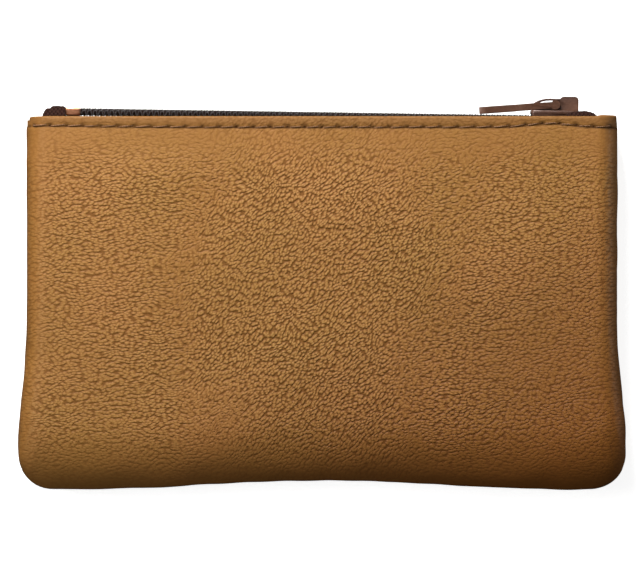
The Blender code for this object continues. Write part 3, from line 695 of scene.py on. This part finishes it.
def make_panel(side, name, thickness):
    """One panel of leather, from a grid: curled edges with their seam allowance, and a folded hem."""
    deselect()
    bpy.ops.mesh.primitive_grid_add(x_subdivisions=COLUMNS, y_subdivisions=ROWS, size=2.0)
    obj = named(name)
    mesh = obj.data
    count = len(mesh.vertices)
    flat = np.empty(count * 3)
    mesh.vertices.foreach_get("co", flat)
    flat = flat.reshape(count, 3)
    for label, values in (("column", np.rint((flat[:, 0] + 1) / 2 * COLUMNS)),
                          ("row", np.rint((flat[:, 1] + 1) / 2 * ROWS)), ("ring", np.zeros(count))):
        mesh.attributes.new(label, "INT", "POINT").data.foreach_set("value", values.astype(np.int32))
    bpy.ops.object.mode_set(mode="EDIT")
    bm = bmesh.from_edit_mesh(mesh)
    layers = {label: bm.verts.layers.int[label] for label in ("column", "row", "ring")}

    def tags(vert):
        return vert[layers["column"]], vert[layers["row"]], vert[layers["ring"]]

    for vert in bm.verts:
        column, row, _ = tags(vert)
        plan = grid_place(column, row)
        vert.co = (plan.x, plan.y, MID + side * depth(side, plan.y))

    def extrude(place, ring):
        """Extrude the selected edges and put the new vertices where they belong."""
        bpy.ops.mesh.extrude_edges_move()
        for vert in bm.verts:
            if vert.select:
                vert[layers["ring"]] = ring
                vert.co = place(*tags(vert)[:2], vert)

    def select_edges(test):
        bpy.ops.mesh.select_all(action="DESELECT")
        for edge in bm.edges:
            if edge.is_boundary and all(test(v) for v in edge.verts):
                edge.select_set(True)
        bm.select_flush_mode()
        if not any(edge.select for edge in bm.edges):
            raise RuntimeError(f"{name} has no edge to extrude")

    def corner_drop(column, row, share):
        """The top corners drop a little."""
        return 0.08 * MM * share ** 5 * smooth((row - ROWS + STITCH_ROWS) / STITCH_ROWS)

    def curl_place(angle):
        def place(column, row, vert):
            inner = grid_place(column, row)
            outer, inward = outline_place(column, row)
            share = math.sin(angle)
            plan = inner.lerp(outer, share)
            lift = depth(side, inner.y) - SEAM_GAP / 2 - SEAM_TURN
            high = lift * max(math.cos(angle), 0.0) ** (1 + BOTTOM_FALL * max(inward.y, 0.0))
            y = plan.y - corner_drop(column, row, share)
            return Vector((plan.x, y, MID + side * (SEAM_GAP / 2 + SEAM_TURN + high)))
        return place

    def seam_place(inset, height):
        def place(column, row, vert):
            outer, inward = outline_place(column, row)
            plan = outer + inward * inset
            return Vector((plan.x, plan.y - corner_drop(column, row, 1.0), MID + side * (SEAM_GAP / 2 + height)))
        return place

    select_edges(lambda v: tags(v)[0] in (0, COLUMNS) or tags(v)[1] == 0)
    ring = 0
    for step in range(1, CURL_RINGS + 1):
        ring += 1
        extrude(curl_place(math.radians(90 * step / CURL_RINGS)), ring)
    for step in range(1, TURN_RINGS + 1):
        ring += 1
        angle = math.radians(90 * step / TURN_RINGS)
        extrude(seam_place(SEAM_TURN * (1 - math.cos(angle)), SEAM_TURN * (1 - math.sin(angle))), ring)
    for step in range(1, ALLOWANCE_RINGS + 1):
        ring += 1
        extrude(seam_place(SEAM_TURN + SEAM_ALLOWANCE * step / ALLOWANCE_RINGS, 0.0), ring)

    # Relief on the outer face, along its own normals
    bm.normal_update()
    grain = bm.verts.layers.float.new("grain")
    crease = bm.verts.layers.float.new("crease")
    for vert in bm.verts:
        column, row, ring = tags(vert)
        vert[grain] = 0.2
        if ring > CURL_RINGS:
            continue
        x, y = vert.co.x, vert.co.y
        rim = max(min(half_width(y) - abs(x), y - bottom_edge(x)), 0.0)
        outward = vert.normal if vert.normal.z * side > 0 or ring > CURL_RINGS // 2 else -vert.normal
        if outward.dot(Vector((x * 0.01, 0, side))) < 0:
            outward = -outward
        amount = relief(side, x, y, rim) + sewing_pull(x, y)
        if side == BACK:
            amount = min(amount, 0.0)
        vert.co += outward * amount
        vert.co.x -= math.copysign(hem_taper(x, y), x)
        vert[grain] = grain_strength(x, y, rim)
        # Painted shade along the sewing, kept in the crease layer
        vert[crease] = stitch_shade(x, y)

    # The hem: fold the top edge over and bring it down behind
    def fold_normal(column, ring):
        if ring == 0:
            return Vector((0.0, 0.0, side))
        angle = math.radians(90 * ring / CURL_RINGS)
        lift = HEM_OUTER - SEAM_GAP / 2 - SEAM_TURN
        way = -1 if column == 0 else 1
        return Vector((way * math.sin(angle) / SIDE_CURL, 0.0, side * math.cos(angle) / lift)).normalized()

    base = bm.verts.layers.float_vector.new("fold_base")
    kept_ring = bm.verts.layers.int.new("fold_ring")
    for vert in bm.verts:
        vert[base] = vert.co
        vert[kept_ring] = tags(vert)[2]

    def fold_place(angle, drop):
        def place(column, row, vert):
            share = math.sin(math.radians(90 * vert[kept_ring] / CURL_RINGS))
            radius = HEM_RADIUS * (1 - 0.5 * share ** 6)
            normal = fold_normal(column, vert[kept_ring])
            rise = max(math.sin(angle), 0.0) ** 0.6
            turn = math.copysign(abs(math.cos(angle)) ** 0.6, math.cos(angle))
            sag = HEM_SAG * (1 - smooth((vert[base].x - 57 * MM) / (2.5 * MM)))
            up = (HEM_RADIUS - sag) * rise - drop
            return vert[base] + Vector((0, up, 0)) - normal * radius * (1 - turn)
        return place

    select_edges(lambda v: tags(v)[1] == ROWS and tags(v)[2] <= CURL_RINGS and v.co.y > TOP - 4 * MM)
    for step in range(1, FOLD_STEPS + 1):
        extrude(fold_place(math.pi * step / FOLD_STEPS, 0.0), 100)
    for step in range(1, FACING_ROWS + 1):
        extrude(fold_place(math.pi, (HEM_DEPTH - HEM_RADIUS) * step / FACING_ROWS), 100)

    bmesh.update_edit_mesh(mesh)
    bpy.ops.object.mode_set(mode="OBJECT")
    face_outward()
    middle = mesh.polygons[(ROWS // 2) * COLUMNS + COLUMNS // 2]
    if middle.normal.z * side < 0:
        mesh.flip_normals()
    wall = obj.modifiers.new("leather", "SOLIDIFY")
    wall.thickness = thickness
    wall.offset = -1.0
    wall.use_even_offset = True
    apply_modifiers(obj)
    bpy.ops.object.shade_smooth()
    return obj


def surface_height(side, x, y):
    """Outer face of the hem zone over a plan position, without relief."""
    flat = TOP_HALF_WIDTH - SIDE_CURL
    if abs(x) <= flat:
        return depth(side, y)
    share = min((abs(x) - flat) / SIDE_CURL, 1.0)
    lift = depth(side, y) - SEAM_GAP / 2 - SEAM_TURN
    return SEAM_GAP / 2 + SEAM_TURN + lift * math.sqrt(1 - share * share)


def make_topstitch(side, name, radius):
    """The needle thread of one hem: lies in its groove and dips into the leather at each hole."""
    points = []
    for index in range(STITCH_COUNT):
        start, end = hole_x(index), hole_x(index + 1)
        for share, drop, slant in STITCH_POINTS:
            x = start + (end - start) * share
            y = stitch_y(x) + slant * MM
            z = surface_height(side, x, y) - drop * MM
            points.append((x, y, MID + side * z))
    return tube(name, points, radius, 8)


# ================================ zip

def make_tape(side, name):
    """A tape with its weave: flat under the coil, bent down behind the hem, both ends folded over."""
    section = [(z * MM, 0.0) for z in (0.35, 1.2, 2.2, 2.8, 3.25)]
    flat_edges = len(section) - 1
    section += arc((TAPE_OUTER - TAPE_BEND, -TAPE_BEND), TAPE_BEND, 70, 0, 4)
    section += [(TAPE_OUTER, -down) for down in (2.0 * MM, 4.0 * MM, 6.0 * MM, TAPE_DOWN)]
    left, right = CHAIN_START - 3.1 * MM, CHAIN_END + 0.6 * MM
    lengths = 120
    deselect()
    bpy.ops.mesh.primitive_grid_add(x_subdivisions=lengths, y_subdivisions=len(section) - 1, size=2.0)
    obj = named(name)
    for vert in obj.data.vertices:
        z, y = section[round((vert.co.y + 1) / 2 * (len(section) - 1))]
        x = left + (right - left) * (vert.co.x + 1) / 2
        ripple = 0.05 * MM * wobble(x / (6 * MM), z / (2 * MM), side)
        vert.co = (x, y + (ripple if y < -MM else 0.0), side * z)
    face_outward()
    if obj.data.polygons[flat_edges // 2 * lengths + lengths // 2].normal.y < 0:
        obj.data.flip_normals()
    weave = obj.modifiers.new("tape", "SOLIDIFY")
    weave.thickness = TAPE
    weave.offset = -1.0
    apply_modifiers(obj)
    for lump, outline, near, far in TAPE_FOLDS:
        low, high = sorted((side * near * MM, side * far * MM))
        join(obj, make_fold(lump, outline, low, high))
    shade(obj, 50)
    return place_in_zip(obj)


def join(obj, other):
    """Join another mesh into this one."""
    activate(obj)
    other.select_set(True)
    bpy.context.view_layer.objects.active = obj
    bpy.ops.object.join()


def make_fold(name, outline, low, high):
    """A wad of folded tape: a thick slab with rounded, slightly lumpy faces."""
    obj = slab(name, in_metres(outline), low, high, "xy")
    soften(obj, 0.1 * MM, 3)
    activate(obj)
    bpy.ops.object.mode_set(mode="EDIT")
    bpy.ops.mesh.select_all(action="SELECT")
    bpy.ops.mesh.quads_convert_to_tris()
    bpy.ops.mesh.subdivide(number_cuts=2)
    bpy.ops.object.mode_set(mode="OBJECT")
    for vert in obj.data.vertices:
        vert.co += 0.09 * MM * noise.noise_vector(vert.co / (0.7 * MM)) * (1 if vert.co.y > 0 else 0)
    return obj


def make_coil(side, name):
    """One coil: flattened turns, with the heads at the middle of the chain."""
    middle_z = (COIL_INNER + COIL_OUTER) / 2
    reach_z = (COIL_OUTER - COIL_INNER) / 2 - COIL_WIRE
    middle_y = (COIL_LOW + COIL_TOP) / 2
    reach_y = (COIL_TOP - COIL_LOW) / 2 - COIL_WIRE
    phase = math.pi if side == FRONT else 0.0
    points = []
    for step in range(COIL_TURNS * COIL_TURN_POINTS):
        angle = phase + 2 * math.pi * step / COIL_TURN_POINTS
        z, y = (math.copysign(abs(part) ** COIL_SQUARE, part) for part in (math.cos(angle), math.sin(angle)))
        x = COIL_START + step / COIL_TURN_POINTS * PITCH
        points.append((x, middle_y + y * reach_y, side * (middle_z - z * reach_z)))
    return place_in_zip(tube(name, points, COIL_WIRE, 6))


def make_coil_stitching(side, name):
    """The thread that sews a coil to its tape: over each turn and down into the tape between turns."""
    shift = (0.75 if side == FRONT else 0.25) * PITCH
    rows = []
    for out, high in ((1.05 * MM, COIL_TOP - 0.02 * MM), (1.98 * MM, COIL_TOP - 0.5 * MM)):
        points = []
        for turn in range(COIL_TURNS):
            top = COIL_START + shift + turn * PITCH
            for along, share in ((-0.36, 0.3), (-0.2, 0.86), (0.0, 1.0), (0.2, 0.86), (0.36, 0.3), (0.5, 0.02)):
                points.append((top + along * PITCH, high * share, side * out))
        rows.append(tube(name, points, 0.12 * MM, 6))
    join(*rows)
    return place_in_zip(rows[0])


def make_bottom_stop():
    """A stamped copper clip: a rounded bar over the chain's end, a web and a bar under the tapes."""
    back, nose = CHAIN_START - 3.3 * MM, CHAIN_START - 0.1 * MM
    upper = block("bottom_clip", (back, 0.12 * MM, -2.1 * MM), (nose, COIL_TOP - 0.02 * MM, 2.1 * MM))
    soften(upper, 0.28 * MM, 4)
    press = block("press", (back + 1.25 * MM, COIL_TOP - 0.1 * MM, -3 * MM),
                  (back + 1.65 * MM, 3 * MM, 3 * MM))
    combine(upper, [press], "DIFFERENCE")
    lower = block("lower_bar", (back, -1.15 * MM, -2.05 * MM), (nose, -0.55 * MM, 2.05 * MM))
    soften(lower, 0.18 * MM, 3)
    web = block("web", (back + 0.25 * MM, -0.9 * MM, -0.2 * MM), (nose - 0.25 * MM, 0.8 * MM, 0.2 * MM))
    shade(combine(upper, [lower, web]), 45)
    return place_in_zip(upper)


def make_top_stop(side, name):
    """A small crimp round the inner edge of one tape."""
    outline = [(-0.8, 0.2), (-0.8, 1.2), (-0.5, 1.2), (-0.5, 0.28), (0.1, 0.28), (0.1, 1.2), (0.5, 1.2),
               (0.62, 1.05), (0.62, 0.35), (0.45, 0.2)]
    places = [(y * MM, side * z * MM) for y, z in outline]
    obj = slab(name, places, CHAIN_END - 1.0 * MM, CHAIN_END + 0.4 * MM, "yz")
    soften(obj, 0.06 * MM, 2)
    return place_in_zip(obj)


# ================================ slider and pull

def plate_outline(half, back, nose, waist=0.0):
    """A slider plate from above: square tail, wings that widen to the nose, and a notch."""
    corner = 1.5 * MM
    right = arc((nose - corner, half - corner), corner, 90, 15, 6)
    tail = half - waist
    side = [(back + 2.6 * MM, tail), (back + 5.0 * MM, half - waist * 0.35)]
    rear = [(back, tail * 0.8), (back + 0.25 * MM, tail * 0.93), (back + 0.7 * MM, tail)]
    upper = rear + side + right
    notch = [(nose - 0.45 * MM, 0.45 * MM), (nose - 0.75 * MM, 0.0), (nose - 0.45 * MM, -0.45 * MM)]
    return upper + notch + [(x, -z) for x, z in reversed(upper)]


def make_slider_body():
    """Upper and lower plates with flanges down the sides of the chain, joined by the neck."""
    top = slab("slider_shell", plate_outline(SLIDER_HALF, SLIDER_BACK, SLIDER_NOSE, 0.15 * MM),
               PLATE_UNDER, PLATE_TOP)
    soften(top, 0.22 * MM, 3)
    lower = slab("lower_plate", plate_outline(2.7 * MM, SLIDER_BACK, SLIDER_NOSE, 0.1 * MM),
                 LOWER_UNDER, LOWER_TOP)
    soften(lower, 0.2 * MM, 3)
    parts = [lower]
    for side in (FRONT, BACK):
        near, far = sorted((side * 2.35 * MM, side * (SLIDER_HALF - 0.16 * MM)))
        flange = block("flange", (SLIDER_BACK + 0.35 * MM, 0.3 * MM, near),
                       (SLIDER_NOSE - 1.9 * MM, PLATE_UNDER + 0.4 * MM, far))
        soften(flange, 0.14 * MM, 3)
        parts.append(flange)
    neck_half = 0.14 * MM
    back, nose = SLIDER_NOSE - 4.0 * MM, SLIDER_NOSE - 1.0 * MM
    middle = (back + nose) / 2
    parts.append(slab("neck", [(back, 0.0), (middle, -neck_half), (nose, 0.0), (middle, neck_half)],
                      LOWER_UNDER + 0.3 * MM, PLATE_UNDER + 0.4 * MM))
    combine(top, parts)
    slot_cut = block("pawl_slot", (45.6 * MM, PLATE_UNDER - MM, -PAWL_SLOT_HALF),
                     (47.2 * MM, PLATE_TOP + MM, PAWL_SLOT_HALF))
    combine(top, [slot_cut], "DIFFERENCE")
    shade(top, 45)
    return place_in_zip(top)


def make_slider_cap():
    """The bridge over the pull's pin: a cast crown that thins into an arched leaf with a rear foot."""
    nose, top = SLIDER_NOSE / MM - 0.1, PLATE_TOP / MM + 3.0
    outline = [(44.15, 2.73), (54.1, 2.73), (nose, 3.0), *arc((nose - 0.8, top - 0.8), 0.8, 4, 90, 6)]
    outline += [(51.0, 5.75), (50.6, 5.66), (50.4, 5.42), (50.1, 5.26), (49.2, 5.25), (48.2, 5.3), (47.3, 5.26),
                (46.4, 5.08), (45.5, 4.8), (44.85, 4.44), (44.4, 4.0), (44.2, 3.5), (44.1, 3.1)]
    obj = slab("slider_bridge", in_metres(outline), -CAP_HALF, CAP_HALF, "xy")
    wall = PIN_X / MM + 0.74
    tunnel = [(44.75, 3.2), (wall, 3.2), (wall, 4.82), (49.0, 4.88), (48.2, 4.9), (47.3, 4.84),
              (46.5, 4.66), (45.8, 4.36), (45.2, 3.95), (44.85, 3.5)]
    combine(obj, [slab("tunnel", in_metres(tunnel), -2 * MM, 2 * MM, "xy")], "DIFFERENCE")
    slot_cut = block("pawl_slot", (45.3 * MM, 2.0 * MM, -PAWL_SLOT_HALF),
                     (47.5 * MM, 3.35 * MM, PAWL_SLOT_HALF))
    combine(obj, [slot_cut], "DIFFERENCE")
    soften(obj, 0.13 * MM, 3)
    return place_in_zip(obj)


def make_pull_tab():
    """A long cast tab: round at the pin, windowed so that it swings over the cap, dished on both faces."""
    tilt = math.radians(4.9)
    eye_half, waist_half, tip_half = 2.65 * MM, 1.95 * MM, 2.3 * MM
    reach, thick = 16.1 * MM, 1.34 * MM
    window = 5.85 * MM
    end_radius = 1.5 * MM
    tip = -reach
    half = [(0.0, eye_half), (-window - 0.2 * MM, eye_half), (-window - 0.9 * MM, eye_half - 0.25 * MM),
            (-window - 1.7 * MM, waist_half), (-window - 2.6 * MM, waist_half)]
    half += arc((tip + end_radius, tip_half - end_radius), end_radius, 92, 170, 6)
    tab = slab("long_pull", mirrored(half), -thick / 2, thick / 2)

    deselect()
    bpy.ops.mesh.primitive_cylinder_add(vertices=32, radius=0.6 * MM, depth=2 * eye_half)
    pin = named("pin")
    eyes = []
    for side in (1, -1):
        bpy.ops.mesh.primitive_cylinder_add(vertices=32, radius=0.98 * MM, depth=eye_half - 1.6 * MM,
                                            location=(0, 0, side * (eye_half + 1.6 * MM) / 2))
        eye = named("eye")
        eye.data.transform(eye.matrix_world)
        eye.matrix_world = Matrix()
        eyes.append(eye)
    cut = block("window", (-window, -2 * MM, -1.6 * MM), (2 * MM, 2 * MM, 1.6 * MM))
    combine(tab, [cut], "DIFFERENCE")
    combine(tab, eyes + [pin])
    for side in (1, -1):
        low, high = sorted((side * (thick / 2 - 0.14 * MM), side * 2 * MM))
        dish_half = [(-window - 3.2 * MM, 1.15 * MM)]
        dish_half += arc((tip + 2.1 * MM, 0.65 * MM), 0.75 * MM, 90, 180, 5)
        combine(tab, [slab("dish", mirrored(dish_half), low, high)], "DIFFERENCE")
    soften(tab, 0.5 * MM, 5, 42)
    for vert in tab.data.vertices:
        if vert.co.y < 0:
            if abs(vert.co.z) > 1.8 * MM:
                under = smooth(-vert.co.y / (0.7 * MM))
                vert.co.z -= math.copysign(0.5 * MM * under, vert.co.z)
            vert.co.y -= 0.1 * MM * smooth((-vert.co.x - 5.4 * MM) / (4 * MM))
    tab.data.transform(Matrix.Translation((PIN_X, PIN_Y, 0)) @ Matrix.Rotation(tilt, 4, "Z"))
    return place_in_zip(tab)


# ================================ properties

def length(name, description, default):
    return FloatProperty(name=name, description=description, default=default, unit="LENGTH", precision=5)


def paint(name, description, hex_colour):
    return FloatVectorProperty(name=name, description=description, default=linear(hex_colour), size=4,
                               subtype="COLOR", min=0.0, max=1.0)


class PouchSizes(bpy.types.PropertyGroup):
    """Sizes that a user would change"""
    leather: length("Leather", "Thickness of the leather", 0.8 * MM)
    topstitch: length("Topstitch thread", "Radius of the hem's sewing thread", 0.16 * MM)


class PouchLooks(bpy.types.PropertyGroup):
    """Colours and grain"""
    leather_colour: paint("Leather", "Camel of the grain side", "#8D5F2A")
    # Painted highlight on the grain's tops
    ridge_highlight_colour: paint("Ridges", "Rubbed tops of the grain", "#A67A42")
    # Dye in the grain's valleys, darkened further by painted shade
    valley_dye_and_shade_colour: paint("Valleys", "Dye gathered in the grain's valleys", "#754A18")
    # Painted shade under the stitches, in their holes and over the welt
    stitch_shade_colour: paint("Creases", "What the sewing's holes and creases are darkened by", "#7C6959")
    thread_colour: paint("Thread", "Sewing thread", "#8C6136")
    thread_shade: paint("Thread shade", "Between the thread's plies", "#6A421F")
    tape_colour: paint("Tape", "Zip tape", "#3A1F16")
    tape_shade: paint("Tape shade", "Between the tape's threads", "#190B07")
    coil_colour: paint("Coil", "Nylon coil", "#24140F")
    coil_shade: paint("Coil shade", "Darker drawing marks", "#1A0F0B")
    slider_colour: paint("Slider", "Lacquer of slider and pull", "#40281D")
    slider_edge: paint("Slider edges", "Rubbed edges of the lacquer", "#6E4E3E")
    copper: paint("Copper", "Plating of the stops", "#D99C78")
    copper_shade: paint("Copper shade", "Die marks in the copper", "#B0714F")
    steel: paint("Steel", "Plating of the lock's spring", "#8A7C70")
    steel_shade: paint("Steel shade", "Die marks in the steel", "#5C5048")
    grain_size: length("Grain", "Distance between the grain's wrinkles", 0.56 * MM)
    grain_depth: length("Grain depth", "Depth of the grain's wrinkles", 0.165 * MM)


# ================================ operators

class POUCH_OT_leather(bpy.types.Operator):
    """Make the front and back leather panels"""
    bl_idname = "pouch.leather"
    bl_label = "Leather panels"

    def execute(self, context):
        skin = camel_lambskin(context.scene.pouch_looks)
        thickness = context.scene.pouch_sizes.leather
        for side, label in ((FRONT, "front"), (BACK, "back")):
            panel = make_panel(side, f"{label}_leather", thickness)
            finish_piece(panel, skin, [f"{label}_panel"], "pouch")
        return {"FINISHED"}


class POUCH_OT_sewing(bpy.types.Operator):
    """Make the topstitches and give the inner threads their finish"""
    bl_idname = "pouch.sewing"
    bl_label = "Sewing"

    def execute(self, context):
        looks = context.scene.pouch_looks
        thread = twisted_polyester("tan sewing thread", looks.thread_colour, looks.thread_shade)
        radius = context.scene.pouch_sizes.topstitch
        for side, label in ((FRONT, "front"), (BACK, "back")):
            obj = make_topstitch(side, f"{label}_topstitch", radius)
            finish_piece(obj, thread, [f"{label}_topstitch_needle_thread"], "pouch")
        for name in ("front_topstitch_bobbin_thread", "back_topstitch_bobbin_thread",
                     "seam_needle_thread", "seam_bobbin_thread"):
            dress(name, thread)
        return {"FINISHED"}


def dress(name, mat):
    """Give a carried-over CAD node its finished material."""
    obj = frame["nodes"][name]
    obj.data.materials.clear()
    obj.data.materials.append(mat)


class POUCH_OT_zip(bpy.types.Operator):
    """Make the tapes, the coils and the thread that holds them"""
    bl_idname = "pouch.zip"
    bl_label = "Zip"

    def execute(self, context):
        looks = context.scene.pouch_looks
        webbing = woven_tape(looks)
        nylon = nylon_monofilament(looks)
        binding = twisted_polyester("coil binding thread", looks.tape_shade, looks.coil_shade)
        for side, label in ((FRONT, "front"), (BACK, "back")):
            tape = make_tape(side, f"{label}_tape")
            finish_piece(tape, webbing, [f"{label}_zip_tape"], "pouch")
            coil = make_coil(side, f"{label}_nylon_coil")
            finish_piece(coil, nylon, [f"{label}_coil"], "pouch")
            stitching = make_coil_stitching(side, f"{label}_coil_stitching")
            finish_piece(stitching, binding, [f"{label}_coil_sewing_thread"], "pouch")
            dress(f"{label}_coil_core_cord", webbing)
        return {"FINISHED"}


class POUCH_OT_stops(bpy.types.Operator):
    """Make the bottom stop and the two top stops"""
    bl_idname = "pouch.stops"
    bl_label = "Stops"

    def execute(self, context):
        looks = context.scene.pouch_looks
        copper = plated_metal("copper plated steel", looks.copper, looks.copper_shade, 0.34)
        finish_piece(make_bottom_stop(), copper, ["bottom_stop"], "pouch")
        for side, label in ((FRONT, "front"), (BACK, "back")):
            crimp = make_top_stop(side, f"{label}_top_crimp")
            finish_piece(crimp, copper, [f"{label}_top_stop"], "pouch")
        return {"FINISHED"}


class POUCH_OT_slider(bpy.types.Operator):
    """Make the slider, its cap and the pull"""
    bl_idname = "pouch.slider"
    bl_label = "Slider and pull"

    def execute(self, context):
        looks = context.scene.pouch_looks
        lacquer = lacquered_zinc(looks)
        finish_piece(make_slider_body(), lacquer, ["slider_body"], "slider")
        finish_piece(make_slider_cap(), lacquer, ["slider_cap"], "slider")
        finish_piece(make_pull_tab(), lacquer, ["pull_tab"], "pull")
        dress("lock_pawl", plated_metal("plated spring steel", looks.steel, looks.steel_shade, 0.32))
        return {"FINISHED"}


class POUCH_OT_stage(bpy.types.Operator):
    """Make the pale floor, the soft lights and the camera"""
    bl_idname = "pouch.stage"
    bl_label = "Stage"

    def execute(self, context):
        scene = context.scene
        deselect()
        bpy.ops.mesh.primitive_plane_add(size=6.0, location=(0, 0, -0.0002))
        floor = named("floor")
        card = new_material("white card", linear("#D8D8D6"), 0.9, Emission_Color=grey(1),
                            Emission_Strength=0.88)[0]
        floor.data.materials.append(card)
        floor.visible_glossy = False
        floor.visible_diffuse = False

        world = bpy.data.worlds.new("studio")
        world.use_nodes = True
        world.node_tree.nodes["Background"].inputs["Color"].default_value = (1, 1, 1, 1)
        world.node_tree.nodes["Background"].inputs["Strength"].default_value = 0.055
        scene.world = world

        def area(name, place, size, power, aim=(0, 0, 0.006)):
            bpy.ops.object.light_add(type="AREA", location=place)
            lamp = bpy.context.view_layer.objects.active
            lamp.name = name
            lamp.data.shape = "RECTANGLE"
            lamp.data.size, lamp.data.size_y = size
            lamp.data.energy = power
            lamp.rotation_euler = (Vector(aim) - Vector(place)).to_track_quat("-Z", "Y").to_euler()
        area("key", (-0.09, 0.36, 0.22), (0.2, 0.12), 3.5, (-0.01, 0.0, 0.006))
        area("side", (-0.28, 0.02, 0.30), (0.16, 0.16), 0.42)
        area("soft top", (-0.26, 0.2, 0.72), (0.5, 0.5), 0.5)
        area("right fill", (0.3, 0.04, 0.03), (0.1, 0.06), 0.12)

        field = 135.2 * MM
        distance = 1.5
        bpy.ops.object.camera_add(location=(-0.42 * MM, 4.2 * MM, MID + distance), rotation=(0, 0, 0))
        camera = bpy.context.view_layer.objects.active
        camera.data.sensor_width = 36
        camera.data.lens = 36 * distance / field
        camera.data.clip_start = 0.01
        scene.camera = camera
        scene.view_settings.view_transform = "Standard"
        return {"FINISHED"}


class POUCH_PT_sidebar(bpy.types.Panel):
    """Lists the pouch's pieces"""
    bl_label = "Zippered pouch"
    bl_idname = "POUCH_PT_sidebar"
    bl_space_type = "VIEW_3D"
    bl_region_type = "UI"
    bl_category = "Pouch"

    def draw(self, context):
        for group in (context.scene.pouch_sizes, context.scene.pouch_looks):
            for name in group.__annotations__:
                self.layout.prop(group, name)
        for operator in OPERATORS:
            self.layout.operator(operator.bl_idname)


OPERATORS = (POUCH_OT_leather, POUCH_OT_sewing, POUCH_OT_zip, POUCH_OT_stops, POUCH_OT_slider, POUCH_OT_stage)
CLASSES = (PouchSizes, PouchLooks, *OPERATORS, POUCH_PT_sidebar)


def register():
    for cls in CLASSES:
        bpy.utils.register_class(cls)
    bpy.types.Scene.pouch_sizes = PointerProperty(type=PouchSizes)
    bpy.types.Scene.pouch_looks = PointerProperty(type=PouchLooks)


def unregister():
    del bpy.types.Scene.pouch_looks
    del bpy.types.Scene.pouch_sizes
    for cls in reversed(CLASSES):
        bpy.utils.unregister_class(cls)


def main():
    register()
    bpy.ops.pouch.leather()
    bpy.ops.pouch.sewing()
    bpy.ops.pouch.zip()
    bpy.ops.pouch.stops()
    bpy.ops.pouch.slider()
    bpy.ops.pouch.stage()


if __name__ == "__main__":
    main()
